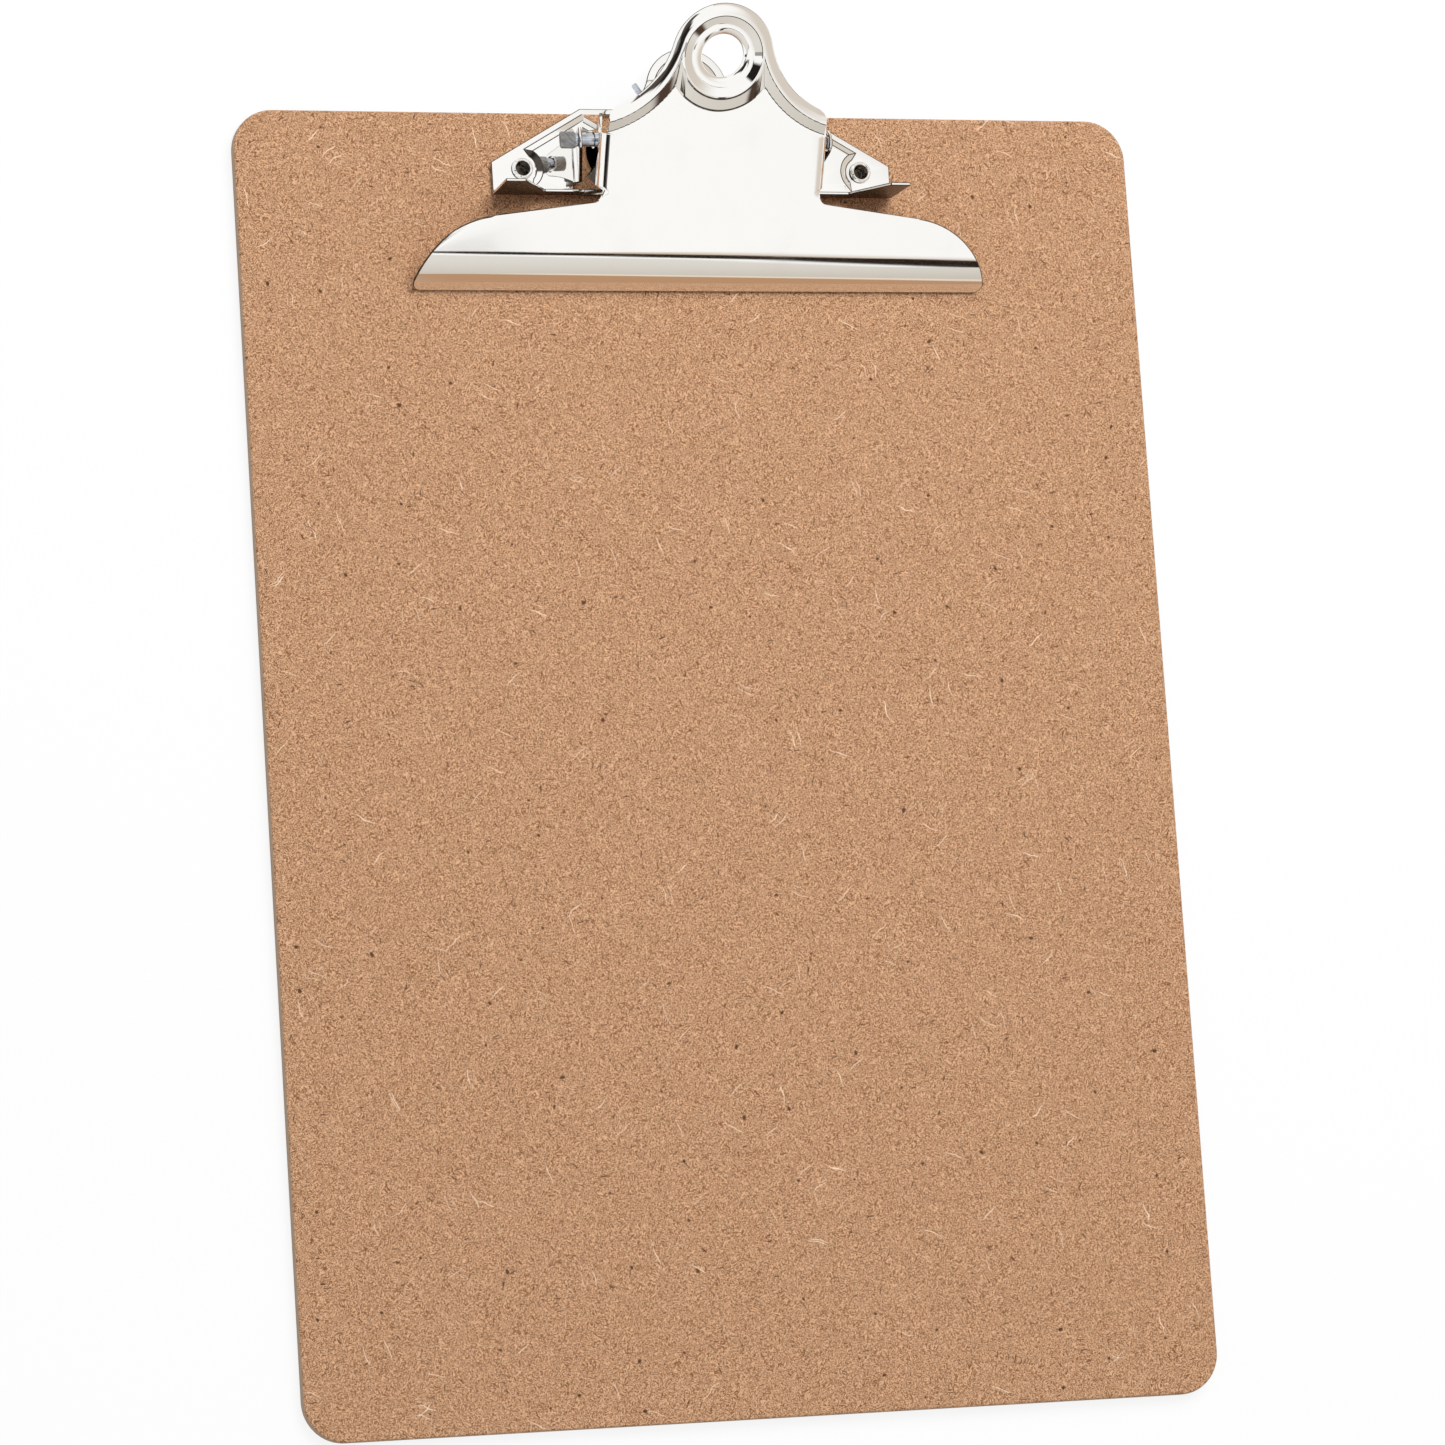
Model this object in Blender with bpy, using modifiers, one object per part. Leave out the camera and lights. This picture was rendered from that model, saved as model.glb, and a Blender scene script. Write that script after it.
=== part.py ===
"""Letter-size hardboard clipboard with a sprung lever clip.

The origin is the middle of the board's back. X runs across the board, Y runs up
to the clip and Z comes out of the front. Lengths are in metres, angles in degrees.
The clip is drawn from its pivot pin: the base plate from the point of the board
under the pin, and the jaw plate from the pin's axis, flat, before it is tilted.
"""
import math

import bmesh
import bpy
from mathutils import Vector

# Clearances, and the steel sheet that both plates are pressed from
SEAT_GAP = 0.0003
PIN_CLEARANCE = 0.0004
WELD = 0.000001
SHEET = 0.0008

# Board
BOARD_WIDTH = 0.2286
BOARD_LENGTH = 0.3175
BOARD_THICK = 0.0032
BOARD_CORNER = 0.010
BOARD_EDGE = 0.0006

# Pivot pin, from the board's top edge and front
PIN_SETBACK = 0.01025
PIN_HEIGHT = 0.014
PIN_RADIUS = 0.0016
PIN_NECK_HALF = 0.0330
PIN_SPADE_LENGTH = 0.0042
PIN_SPADE_WIDTH = 0.0042
PIN_SPADE_THICK = 0.0018
PIN_SQUARENESS = 0.5
PIN_TAPER = 0.0008
PIN_UPSET = 0.0005
PIN_UPSET_RADIUS = 0.0021

# Jaw plate: flat field, cheeks and rolled jaw
JAW_TILT = 26.6
JAW_RISE = 0.0068
JAW_HALF_WIDTH = 0.0733
JAW_ROLL_RADIUS = 0.0185
JAW_ROLL_ANGLE = 35.4
JAW_SIDE_RADIUS = 0.022
JAW_TOP_SLOPE = 7.8
JAW_LIP_CORNER = 0.0025
NOTCH_FILLET = 0.0022
CHEEK_HALF = 0.0289
CHEEK_BEND = 0.0030
CHEEK_FRONT = 0.0100
CHEEK_REAR = 0.0028
CHEEK_ROUND = 0.0097
CHEEK_REAR_TURN = -62.0
CHEEK_HEEL_REACH = 0.0074
CHEEK_HEEL_RISE = 0.0034
RIM_WIDTH = 0.0017
RIM_FRONT = 0.0117
RIM_REAR = 0.0108

# Jaw plate: beaded finger lever and its hanging eye
EYE_REACH = 0.0225
EYE_HOLE = 0.0052
EYE_FLAT = 0.0076
EYE_SINK = 0.0002
EYE_LIP = 0.0017
EYE_LIP_DROP = 0.0010
LOOP_RADIUS = 0.0129
SWEEP_RADIUS = 0.0228
SHOULDER_HALF = 0.0274
SHOULDER_REACH = 0.0091
SHOULDER_ROUND = 0.0016
BEAD_HEIGHT = 0.0011
BEAD_OUTER = 0.0028
BEAD_SWEEP = 0.0027
BEAD_RING = 0.0037
BEAD_FOLD = 0.16

# Base plate: outline, pressed pad and windows
WING_HALF = 0.051
WING_SIDE_REAR = -0.0023
WING_SHOULDER_HALF = 0.0278
WING_SHOULDER_REACH = 0.0112
LEVER_REACH = 0.0162
LEVER_RADIUS = 0.0105
LEVER_SWEEP = 0.0100
STRIP_FRONT = -0.0105
PAD_HEIGHT = 0.0006
PAD_SLOPE = 0.00145
PAD_STRIP_MARGIN = 0.0002
PAD_WING_MARGIN = 0.00145
PAD_LEVER_MARGIN = 0.0020
WINDOW_INNER = 0.0090
WINDOW_OUTER = 0.0252

# Base plate: paper stops, from the wing's tip, and pin ears
STOP_BEND = 0.0006
STOP_INNER = 0.0288
STOP_LOW = 0.0045
STOP_LOW_INSET = 0.0121
STOP_TALL = 0.0145
STOP_TALL_INSET = 0.0046
STOP_OVERHANG = 0.0004
EAR_ROOT = 0.0307
EAR_BEND = 0.0010
EAR_LEAN = 14.5
EAR_REAR = 0.0048
EAR_ROUND = 0.0031

# Rivets, from the wing's tip and from the pin
RIVET_INSET = 0.0077
RIVET_SETBACK = 0.0040
RIVET_SHANK = 0.0021
RIVET_BORE = 0.00165
RIVET_BORE_FLOOR = 0.0003
RIVET_ROLL = 0.00265
RIVET_ROLL_HEIGHT = 0.0009
RIVET_HEAD = 0.0042
RIVET_HEAD_THICK = 0.0008
RIVET_MARGIN = 0.0037

# Torsion spring
WIRE_RADIUS = 0.00075
COIL_RADIUS = 0.0034
COIL_PITCH = 0.00205
COIL_TURNS = 6
COIL_POINTS = 10
LOWER_LEG_ANGLE = 41.0
LOWER_LEG_OVERHANG = 0.0033
UPPER_LEG_REACH = 0.0140

# Finishes: linear colour, roughness and metal share
HARDBOARD = ((0.497, 0.275, 0.150), 0.75, 0.0)
NICKEL_PLATE = ((0.80, 0.78, 0.75), 0.12, 1.0)
ZINC_STEEL = ((0.56, 0.59, 0.63), 0.3, 1.0)

# Steps of round stretches, and the least fold that is shaded as an edge
HOLE_STEPS = 20
END_STEPS = 14
BEND_STEPS = 6
CORNER_STEPS = 8
EDGE_STEPS = 2
TURN_STEPS = 24
SHARP_FOLD = 35.0
SWEEP_STEPS = 14
LOOP_STEPS = 18
RING_STEPS = 20
BEAD_ROWS = 6
FOLD_ROWS = 4
LIP_ROWS = 5
JAW_COLUMNS = 16
LEG_STEPS = 4

# Worked out from the above: the pin, the levels of the base plate above the board, and the jaw's roll
PIN_Y = BOARD_LENGTH / 2 - PIN_SETBACK
PIN_Z = BOARD_THICK + PIN_HEIGHT
RIM_TOP = SEAT_GAP + SHEET
PAD_TOP = RIM_TOP + PAD_HEIGHT
STOP_LINE = STRIP_FRONT + SHEET + STOP_BEND
PAD_FRONT = STOP_LINE + PAD_STRIP_MARGIN
PAD_TOP_FRONT = PAD_FRONT + PAD_SLOPE
WINDOW_REAR = WING_SHOULDER_REACH - PAD_WING_MARGIN
RIVET_HALF = WING_HALF - RIVET_INSET
PIN_HOLE = PIN_RADIUS + PIN_CLEARANCE
TILT = math.radians(JAW_TILT)
ROLL = math.radians(JAW_ROLL_ANGLE)


def arc(center, radius, start, end, steps):
    """Points on a circle from one angle to another, both included."""
    angles = [math.radians(start + (end - start) * i / steps) for i in range(steps + 1)]
    return [(center[0] + radius * math.cos(a), center[1] + radius * math.sin(a)) for a in angles]


def ring(center, radius, steps=HOLE_STEPS):
    """Points all round a circle, without closing it."""
    return arc(center, radius, 0, 360, steps)[:-1]


def quarter_turn(lean=0.0):
    """Angles of a bend, in radians, from flat to upright and on by a lean."""
    return [math.radians((90 + lean) * i / BEND_STEPS) for i in range(BEND_STEPS + 1)]


def line(start, end, steps):
    """Points on a straight run, both ends included."""
    return [tuple(a + (b - a) * i / steps for a, b in zip(start, end)) for i in range(steps + 1)]


def chain(*runs):
    """One run of points from several, without the points where they join twice."""
    points = []
    for run in runs:
        for point in run:
            if not points or (Vector(point) - Vector(points[-1])).length > WELD:
                points.append(point)
    return points


def bearing(start, end):
    """Angle of the direction from one point to another."""
    return math.degrees(math.atan2(end[1] - start[1], end[0] - start[0]))


def touch_angle(point, center, radius, side):
    """Angle on a circle where a line from an outside point touches it."""
    distance = math.dist(point, center)
    return bearing(center, point) + side * math.degrees(math.acos(radius / distance))


def circles_meet(center_a, radius_a, center_b, radius_b, side):
    """Point where two circles cross or just touch, to the left (1) or right (-1) of the line from a to b."""
    distance = math.dist(center_a, center_b)
    cosine = (distance ** 2 + radius_a ** 2 - radius_b ** 2) / (2 * distance * radius_a)
    angle = math.radians(bearing(center_a, center_b)) + side * math.acos(min(cosine, 1.0))
    return (center_a[0] + radius_a * math.cos(angle), center_a[1] + radius_a * math.sin(angle))


def at_height(points, height):
    return [(x, y, height) for x, y in points]


def new_piece(name, mesh, collection, material):
    piece = bpy.data.objects.new(name, mesh)
    collection.objects.link(piece)
    mesh.materials.clear()
    mesh.materials.append(material)
    return piece


def new_material(name, color, roughness, metallic):
    material = bpy.data.materials.new(name)
    material.use_nodes = True
    shader = material.node_tree.nodes["Principled BSDF"]
    shader.inputs["Base Color"].default_value = (*color, 1.0)
    shader.inputs["Roughness"].default_value = roughness
    shader.inputs["Metallic"].default_value = metallic
    return material


def add_loft(bm, rows, closed=False):
    """Quads between neighbouring rows that have as many points each."""
    grid = [[bm.verts.new(point) for point in row] for row in rows]
    count = len(grid[0])
    for low, high in zip(grid, grid[1:]):
        for i in range(count if closed else count - 1):
            j = (i + 1) % count
            bm.faces.new((low[i], low[j], high[j], high[i]))
    return grid


def add_flat(bm, loops):
    """A flat patch inside closed loops: its outline, then its holes."""
    edges = []
    for loop in loops:
        verts = [bm.verts.new(point) for point in loop]
        edges += [bm.edges.new(pair) for pair in zip(verts, verts[1:] + verts[:1])]
    bmesh.ops.triangle_fill(bm, use_beauty=True, edges=edges)


def finish_sheet(bm, name, collection, material):
    """Weld the patches of a half plate, mirror it and give it the sheet's thickness, inwards."""
    bmesh.ops.remove_doubles(bm, verts=bm.verts, dist=WELD)
    bmesh.ops.recalc_face_normals(bm, faces=bm.faces)
    if max(bm.faces, key=lambda face: face.calc_area()).normal.z < 0:
        bmesh.ops.reverse_faces(bm, faces=bm.faces)
    mesh = bpy.data.meshes.new(name)
    bm.to_mesh(mesh)
    bm.free()
    mesh.shade_smooth()
    mesh.set_sharp_from_angle(angle=math.radians(SHARP_FOLD))
    piece = new_piece(name, mesh, collection, material)
    mirror = piece.modifiers.new("Both halves", "MIRROR")
    mirror.merge_threshold = WELD
    solid = piece.modifiers.new("Sheet", "SOLIDIFY")
    solid.thickness = SHEET
    solid.offset = -1
    solid.use_even_offset = True
    solid.use_quality_normals = True
    return piece


def cut(piece, cutter, cutters):
    """Take a cutter's shape out of a piece."""
    cutters.objects.link(cutter)
    cutter.hide_render = True
    cutter.display_type = "WIRE"
    boolean = piece.modifiers.new(cutter.name, "BOOLEAN")
    boolean.operation = "DIFFERENCE"
    boolean.object = cutter


def cylinder_mesh(name, radius, low, high):
    bm = bmesh.new()
    bmesh.ops.create_cone(
        bm, cap_ends=True, segments=TURN_STEPS, radius1=radius, radius2=radius, depth=high - low)
    bmesh.ops.translate(bm, verts=bm.verts, vec=(0, 0, (low + high) / 2))
    mesh = bpy.data.meshes.new(name)
    bm.to_mesh(mesh)
    bm.free()
    return mesh


def rivet_places():
    return {"left": (-RIVET_HALF, PIN_Y - RIVET_SETBACK), "right": (RIVET_HALF, PIN_Y - RIVET_SETBACK)}


def make_board(collection, cutters, material):
    """Panel with round corners, eased edges and, at each rivet, a hole sunk for the head."""
    bm = bmesh.new()
    bmesh.ops.create_cube(bm, size=1.0)
    bmesh.ops.scale(bm, verts=bm.verts, vec=(BOARD_WIDTH, BOARD_LENGTH, BOARD_THICK))
    bmesh.ops.translate(bm, verts=bm.verts, vec=(0, 0, BOARD_THICK / 2))
    upright = [e for e in bm.edges if abs(e.verts[0].co.z - e.verts[1].co.z) > BOARD_THICK / 2]
    bmesh.ops.bevel(bm, geom=upright, offset=BOARD_CORNER, segments=CORNER_STEPS, profile=0.5, affect="EDGES")
    mesh = bpy.data.meshes.new("board")
    bm.to_mesh(mesh)
    bm.free()
    board = new_piece("board", mesh, collection, material)
    eased = board.modifiers.new("Eased edges", "BEVEL")
    eased.width = BOARD_EDGE
    eased.segments = EDGE_STEPS
    eased.limit_method = "ANGLE"
    eased.angle_limit = math.radians(SHARP_FOLD)
    head_depth = RIVET_HEAD_THICK + 2 * SEAT_GAP
    for side, place in rivet_places().items():
        for name, radius, low, high in (
            ("rivet_hole_", RIVET_SHANK + SEAT_GAP, -BOARD_THICK, 2 * BOARD_THICK),
            ("rivet_sink_", RIVET_HEAD + SEAT_GAP, -BOARD_THICK, head_depth),
        ):
            cutter = bpy.data.objects.new(name + side, cylinder_mesh(name + side, radius, low, high))
            cutter.location = (*place, 0)
            cut(board, cutter, cutters)
    return board


def make_rivet(side, place, collection, material):
    """Turned tubular rivet: head sunk in the board's back, rolled rim on the base plate."""
    under = SEAT_GAP
    head_top = under + RIVET_HEAD_THICK
    seat = BOARD_THICK + RIM_TOP + SEAT_GAP
    roll_middle = (RIVET_BORE + RIVET_ROLL) / 2
    roll_half = (RIVET_ROLL - RIVET_BORE) / 2
    roll = [
        (roll_middle + roll_half * x, seat + RIVET_ROLL_HEIGHT * z)
        for x, z in arc((0, 0), 1, 180, 0, CORNER_STEPS)
    ]
    profile = chain(
        [(0, head_top + RIVET_BORE_FLOOR), (RIVET_BORE, head_top + RIVET_BORE_FLOOR)],
        roll,
        [(RIVET_SHANK, seat), (RIVET_SHANK, head_top), (RIVET_HEAD, head_top)],
        [(RIVET_HEAD, under + RIVET_HEAD_THICK / 2), (RIVET_HEAD - RIVET_HEAD_THICK, under), (0, under)],
    )
    bm = bmesh.new()
    verts = [bm.verts.new((x, 0, z)) for x, z in profile]
    for pair in zip(verts, verts[1:]):
        bm.edges.new(pair)
    mesh = bpy.data.meshes.new("rivet_" + side)
    bm.to_mesh(mesh)
    bm.free()
    rivet = new_piece("rivet_" + side, mesh, collection, material)
    rivet.location = (*place, 0)
    turn = rivet.modifiers.new("Turned", "SCREW")
    turn.steps = TURN_STEPS
    turn.render_steps = TURN_STEPS
    turn.use_merge_vertices = True
    turn.merge_threshold = WELD
    turn.use_smooth_shade = True
    return rivet


def make_pin(collection, material):
    """Round pin: its left end is struck flat into a spade, its right end is upset past the ear."""
    round_form = (PIN_RADIUS, PIN_RADIUS, 1.0)
    upset = (PIN_UPSET_RADIUS, PIN_UPSET_RADIUS, 1.0)
    spade = (PIN_SPADE_WIDTH / 2, PIN_SPADE_THICK / 2, PIN_SQUARENESS)
    blunt = (PIN_SPADE_WIDTH / 2 - SEAT_GAP, PIN_SPADE_THICK / 2 - SEAT_GAP, PIN_SQUARENESS)
    tip = PIN_NECK_HALF + PIN_SPADE_LENGTH
    sections = [
        (-tip, blunt),
        (SEAT_GAP - tip, spade),
        (-PIN_NECK_HALF - PIN_TAPER, spade),
        (-PIN_NECK_HALF, round_form),
        (PIN_NECK_HALF, round_form),
        (PIN_NECK_HALF + PIN_UPSET / 2, upset),
        (PIN_NECK_HALF + PIN_UPSET, round_form),
    ]
    bm = bmesh.new()
    rings = []
    for x, (half_width, half_thick, squareness) in sections:
        section = []
        for c, s in ring((0, 0), 1, TURN_STEPS):
            across = math.copysign(abs(c) ** squareness, c)
            upward = math.copysign(abs(s) ** squareness, s)
            section.append((x, half_width * across, half_thick * upward))
        rings.append(section)
    grid = add_loft(bm, rings, closed=True)
    bm.faces.new(reversed(grid[0]))
    bm.faces.new(grid[-1])
    bmesh.ops.recalc_face_normals(bm, faces=bm.faces)
    mesh = bpy.data.meshes.new("pivot_pin")
    bm.to_mesh(mesh)
    bm.free()
    mesh.shade_smooth()
    mesh.set_sharp_from_angle(angle=math.radians(SHARP_FOLD))
    pin = new_piece("pivot_pin", mesh, collection, material)
    pin.location = (0, PIN_Y, PIN_Z)
    return pin


def lever_sweep_center():
    """Centre of the hollow curve between the base plate's shoulder and its rear lever."""
    height = WING_SHOULDER_REACH + LEVER_SWEEP
    across = math.sqrt((LEVER_RADIUS + LEVER_SWEEP) ** 2 - (height - LEVER_REACH) ** 2)
    return (across, height)


def lever_edge(inset, rear=None):
    """Run along the rear lever's edge, some way inside it, from the shoulder to the middle."""
    center = lever_sweep_center()
    radius = LEVER_SWEEP + inset
    join = bearing((0, LEVER_REACH), center)
    start = 270.0
    if rear is not None:
        start = 180 - math.degrees(math.asin((rear - center[1]) / radius))
    return chain(
        arc(center, radius, start, join + 180, SWEEP_STEPS),
        arc((0, LEVER_REACH), LEVER_RADIUS - inset, join, 90, LOOP_STEPS),
    )


def wing_rear_line(inset):
    """A point on the line inside a wing's slanted rear edge, and the way along it to the middle."""
    shoulder = Vector((WING_SHOULDER_HALF, WING_SHOULDER_REACH))
    along = (shoulder - Vector((WING_HALF, WING_SIDE_REAR))).normalized()
    inward = Vector((-along.y, along.x))
    return shoulder + inward * inset, along


def hollow_corners():
    """Where the hollow round a rivet cuts the wing pad's front and its slanted rear edge."""
    rivet = Vector((RIVET_HALF, -RIVET_SETBACK))
    radius = RIVET_MARGIN + PAD_SLOPE
    drop = rivet.y - PAD_TOP_FRONT
    front = rivet - Vector((math.sqrt(radius ** 2 - drop ** 2), drop))
    on_line, along = wing_rear_line(PAD_WING_MARGIN + PAD_SLOPE)
    to_line = on_line - rivet
    nearest = to_line - along * to_line.dot(along)
    rear = rivet + nearest + along * math.sqrt(radius ** 2 - nearest.length_squared)
    return front, rear


def wing_pad_edge(share):
    """Run round a wing's pressed pad, from its foot (0) to its top (1): front, hollow and slanted rear."""
    rise = PAD_SLOPE * share
    front = PAD_FRONT + rise
    rivet = (RIVET_HALF, -RIVET_SETBACK)
    front_corner, rear_corner = hollow_corners()
    turn = PAD_SLOPE * (1 - 2 * share)
    on_line, along = wing_rear_line(PAD_WING_MARGIN + rise)
    rear_turn = on_line + along * ((rear_corner - on_line).dot(along) - turn)
    rear = WINDOW_REAR - rise
    mitre = on_line + along * ((rear - on_line.y) / along.y)
    ends = (bearing(rivet, front_corner), bearing(rivet, rear_corner) - 360)
    hollow = arc(rivet, RIVET_MARGIN + rise, *ends, END_STEPS)
    before = [(EAR_ROOT, front), (front_corner.x + turn, front)]
    return before + hollow + [tuple(rear_turn), tuple(mitre), (WINDOW_OUTER, rear)]


def ear_flat(point):
    """Place a point of the flat ear, (along the board, up the ear), on the leaning ear."""
    lean = math.radians(EAR_LEAN)
    root_x = EAR_ROOT - EAR_BEND * math.cos(lean)
    root_z = PAD_TOP + EAR_BEND * (1 + math.sin(lean))
    return (root_x + point[1] * math.sin(lean), point[0], root_z + point[1] * math.cos(lean))


def add_ear(bm):
    """Pin ear bent up from the pad at the window, with a round top about the pin."""
    front = PAD_TOP_FRONT
    bend = [
        [(EAR_ROOT - EAR_BEND * math.sin(a), y, PAD_TOP + EAR_BEND * (1 - math.cos(a)))
         for y in (front, EAR_REAR)]
        for a in quarter_turn(EAR_LEAN)
    ]
    add_loft(bm, bend)
    lean = math.radians(EAR_LEAN)
    pin_up = (PIN_HEIGHT - PAD_TOP - EAR_BEND * (1 + math.sin(lean))) / math.cos(lean)
    center = (0.0, pin_up)
    start = touch_angle((EAR_REAR, 0), center, EAR_ROUND, 1)
    end = touch_angle((front, 0), center, EAR_ROUND, -1) + 360
    outline = [(EAR_REAR, 0)] + arc(center, EAR_ROUND, start, end, END_STEPS) + [(front, 0)]
    hole = ring(center, PIN_HOLE)
    add_flat(bm, [[ear_flat(p) for p in outline], [ear_flat(p) for p in hole]])


def add_stop(bm):
    """Paper stop bent up from a wing's front edge: tall at the tip, low beside the ear."""
    bend = [
        [(x, STOP_LINE - STOP_BEND * math.sin(a), RIM_TOP + STOP_BEND * (1 - math.cos(a)))
         for x in (STOP_INNER, WING_HALF)]
        for a in quarter_turn()
    ]
    add_loft(bm, bend)
    wall = STRIP_FRONT + SHEET
    outline = [
        (STOP_INNER, RIM_TOP + STOP_BEND),
        (WING_HALF, RIM_TOP + STOP_BEND),
        (WING_HALF + STOP_OVERHANG, STOP_TALL),
        (WING_HALF - STOP_TALL_INSET, STOP_TALL),
        (WING_HALF - STOP_LOW_INSET, STOP_LOW),
        (STOP_INNER, STOP_LOW),
    ]
    add_flat(bm, [[(x, wall, z) for x, z in outline]])


def make_base_plate(collection, material):
    """Half of the plate, from the middle to a wing: rim, pressed pads, paper stop and ear."""
    wing_foot = wing_pad_edge(0)
    wing_top = wing_pad_edge(1)
    lever_foot = lever_edge(PAD_LEVER_MARGIN, rear=WINDOW_REAR)
    lever_top = lever_edge(PAD_LEVER_MARGIN + PAD_SLOPE, rear=WINDOW_REAR)
    rim = chain(
        reversed(lever_edge(0)),
        [(WING_SHOULDER_HALF, WING_SHOULDER_REACH), (WING_HALF, WING_SIDE_REAR), (WING_HALF, STOP_LINE)],
        [(STOP_INNER, STOP_LINE), (STOP_INNER, STRIP_FRONT), (0, STRIP_FRONT), (0, PAD_FRONT)],
        [(WINDOW_INNER, PAD_FRONT)],
        wing_foot,
        lever_foot,
    )
    rivet_hole = ring((RIVET_HALF, -RIVET_SETBACK), RIVET_SHANK + SEAT_GAP)
    wing_pad = chain(wing_top, [(WINDOW_OUTER, EAR_REAR), (EAR_ROOT, EAR_REAR)])
    eye_y = EYE_REACH * math.cos(TILT) - JAW_RISE * math.sin(TILT)
    lever_hole = arc((0, eye_y), EYE_HOLE, -90, 90, END_STEPS)
    middle_pad = chain(
        lever_top, reversed(lever_hole),
        [(0, PAD_TOP_FRONT), (WINDOW_INNER, PAD_TOP_FRONT), (WINDOW_INNER, WINDOW_REAR)])

    bm = bmesh.new()
    add_flat(bm, [at_height(rim, RIM_TOP), at_height(rivet_hole, RIM_TOP)])
    add_flat(bm, [at_height(wing_pad, PAD_TOP)])
    add_flat(bm, [at_height(middle_pad, PAD_TOP)])
    add_loft(bm, [at_height(wing_foot, RIM_TOP), at_height(wing_top, PAD_TOP)])
    add_loft(bm, [at_height(lever_foot, RIM_TOP), at_height(lever_top, PAD_TOP)])
    add_loft(bm, [
        [(0, PAD_FRONT, RIM_TOP), (WINDOW_INNER, PAD_FRONT, RIM_TOP)],
        [(0, PAD_TOP_FRONT, PAD_TOP), (WINDOW_INNER, PAD_TOP_FRONT, PAD_TOP)],
    ])
    add_ear(bm)
    add_stop(bm)
    plate = finish_sheet(bm, "base_plate", collection, material)
    plate.location = (0, PIN_Y, BOARD_THICK)
    return plate


def roll_start():
    """Where the jaw's roll begins, so that its lip just meets the board."""
    lip_level = JAW_RISE - JAW_ROLL_RADIUS * (1 - math.cos(ROLL)) - SHEET * math.cos(ROLL)
    drop = (SEAT_GAP - PIN_HEIGHT - lip_level * math.cos(TILT)) / math.sin(TILT)
    return drop + (JAW_ROLL_RADIUS - SHEET) * math.sin(ROLL)


def rolled(across, along):
    """Place a point of the unrolled jaw, measured from the roll's start towards its lip."""
    angle = max(along, 0.0) / JAW_ROLL_RADIUS
    back = roll_start() - min(along, 0.0) - JAW_ROLL_RADIUS * math.sin(angle)
    return (across, back, JAW_RISE - JAW_ROLL_RADIUS * (1 - math.cos(angle)))


def jaw_sides():
    """Unrolled side of the jaw in two runs: lip corner to the roll's start, and on to the notch."""
    lip = JAW_ROLL_RADIUS * ROLL
    slope = math.radians(JAW_TOP_SLOPE)
    fillet = (CHEEK_HALF - CHEEK_BEND + RIM_WIDTH + NOTCH_FILLET, roll_start() + RIM_FRONT)
    top_x = fillet[0] - NOTCH_FILLET * math.sin(slope)
    top_y = fillet[1] + NOTCH_FILLET * math.cos(slope)
    side_x = JAW_HALF_WIDTH - JAW_SIDE_RADIUS
    side_y = top_y + (side_x - top_x) * math.tan(slope) + JAW_SIDE_RADIUS / math.cos(slope)
    side = (side_x, side_y)
    corner_y = lip - JAW_LIP_CORNER
    reach = JAW_SIDE_RADIUS - JAW_LIP_CORNER
    corner = (side_x + math.sqrt(reach ** 2 - (corner_y - side_y) ** 2), corner_y)
    join = bearing(side, corner)
    level = -math.degrees(math.asin(side_y / JAW_SIDE_RADIUS))
    in_roll = chain(
        arc(corner, JAW_LIP_CORNER, 90, join, BEND_STEPS),
        arc(side, JAW_SIDE_RADIUS, join, level, BEND_STEPS),
    )
    in_flat = chain(
        arc(side, JAW_SIDE_RADIUS, level, JAW_TOP_SLOPE - 90, SWEEP_STEPS),
        arc(fillet, NOTCH_FILLET, JAW_TOP_SLOPE + 90, 180, BEND_STEPS),
    )
    return in_roll, in_flat


def bevel_shares():
    """Shares across a straight bevel, close together in the folds at its top and foot."""
    fold = [BEAD_FOLD * i / FOLD_ROWS for i in range(FOLD_ROWS + 1)]
    return fold + [1 - share for share in reversed(fold)]


def bevel_fall(share):
    """Fall from 1 to 0 down a straight bevel with a rounded fold at its top and foot."""
    from_end = min(share, 1 - share)
    fallen = from_end - BEAD_FOLD / 2
    if from_end < BEAD_FOLD:
        fallen = from_end ** 2 / (2 * BEAD_FOLD)
    fallen /= 1 - BEAD_FOLD
    return 1 - fallen if share < 0.5 else fallen


def sweep_center():
    """Centre of the hollow sweep of the finger lever's edge, from its loop to its shoulder."""
    shoulder = (SHOULDER_HALF, SHOULDER_REACH)
    return circles_meet((0, EYE_REACH), LOOP_RADIUS + SWEEP_RADIUS, shoulder, SWEEP_RADIUS, 1)


def sweep_run(radius, end):
    """Run along the sweep from the lever's shoulder, whose corner is round, some way out from its centre."""
    center = sweep_center()
    corner = max(SHOULDER_ROUND - (radius - SWEEP_RADIUS), 0.0)
    half = SHOULDER_HALF - SHOULDER_ROUND + math.sqrt(SHOULDER_ROUND ** 2 - corner ** 2)
    start = 360 - math.degrees(math.acos((half - center[0]) / radius))
    return arc(center, radius, start, end, SWEEP_STEPS)


def outer_bead_line(share):
    """Level line on the bead's outer side: shoulder, sweep, and round the loop to the middle."""
    eye = (0, EYE_REACH)
    join = bearing(eye, sweep_center())
    inset = BEAD_OUTER * share
    sweep = sweep_run(SWEEP_RADIUS + inset, join + 180)
    return chain(sweep, arc(eye, LOOP_RADIUS - inset, join, 90, LOOP_STEPS))


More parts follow.
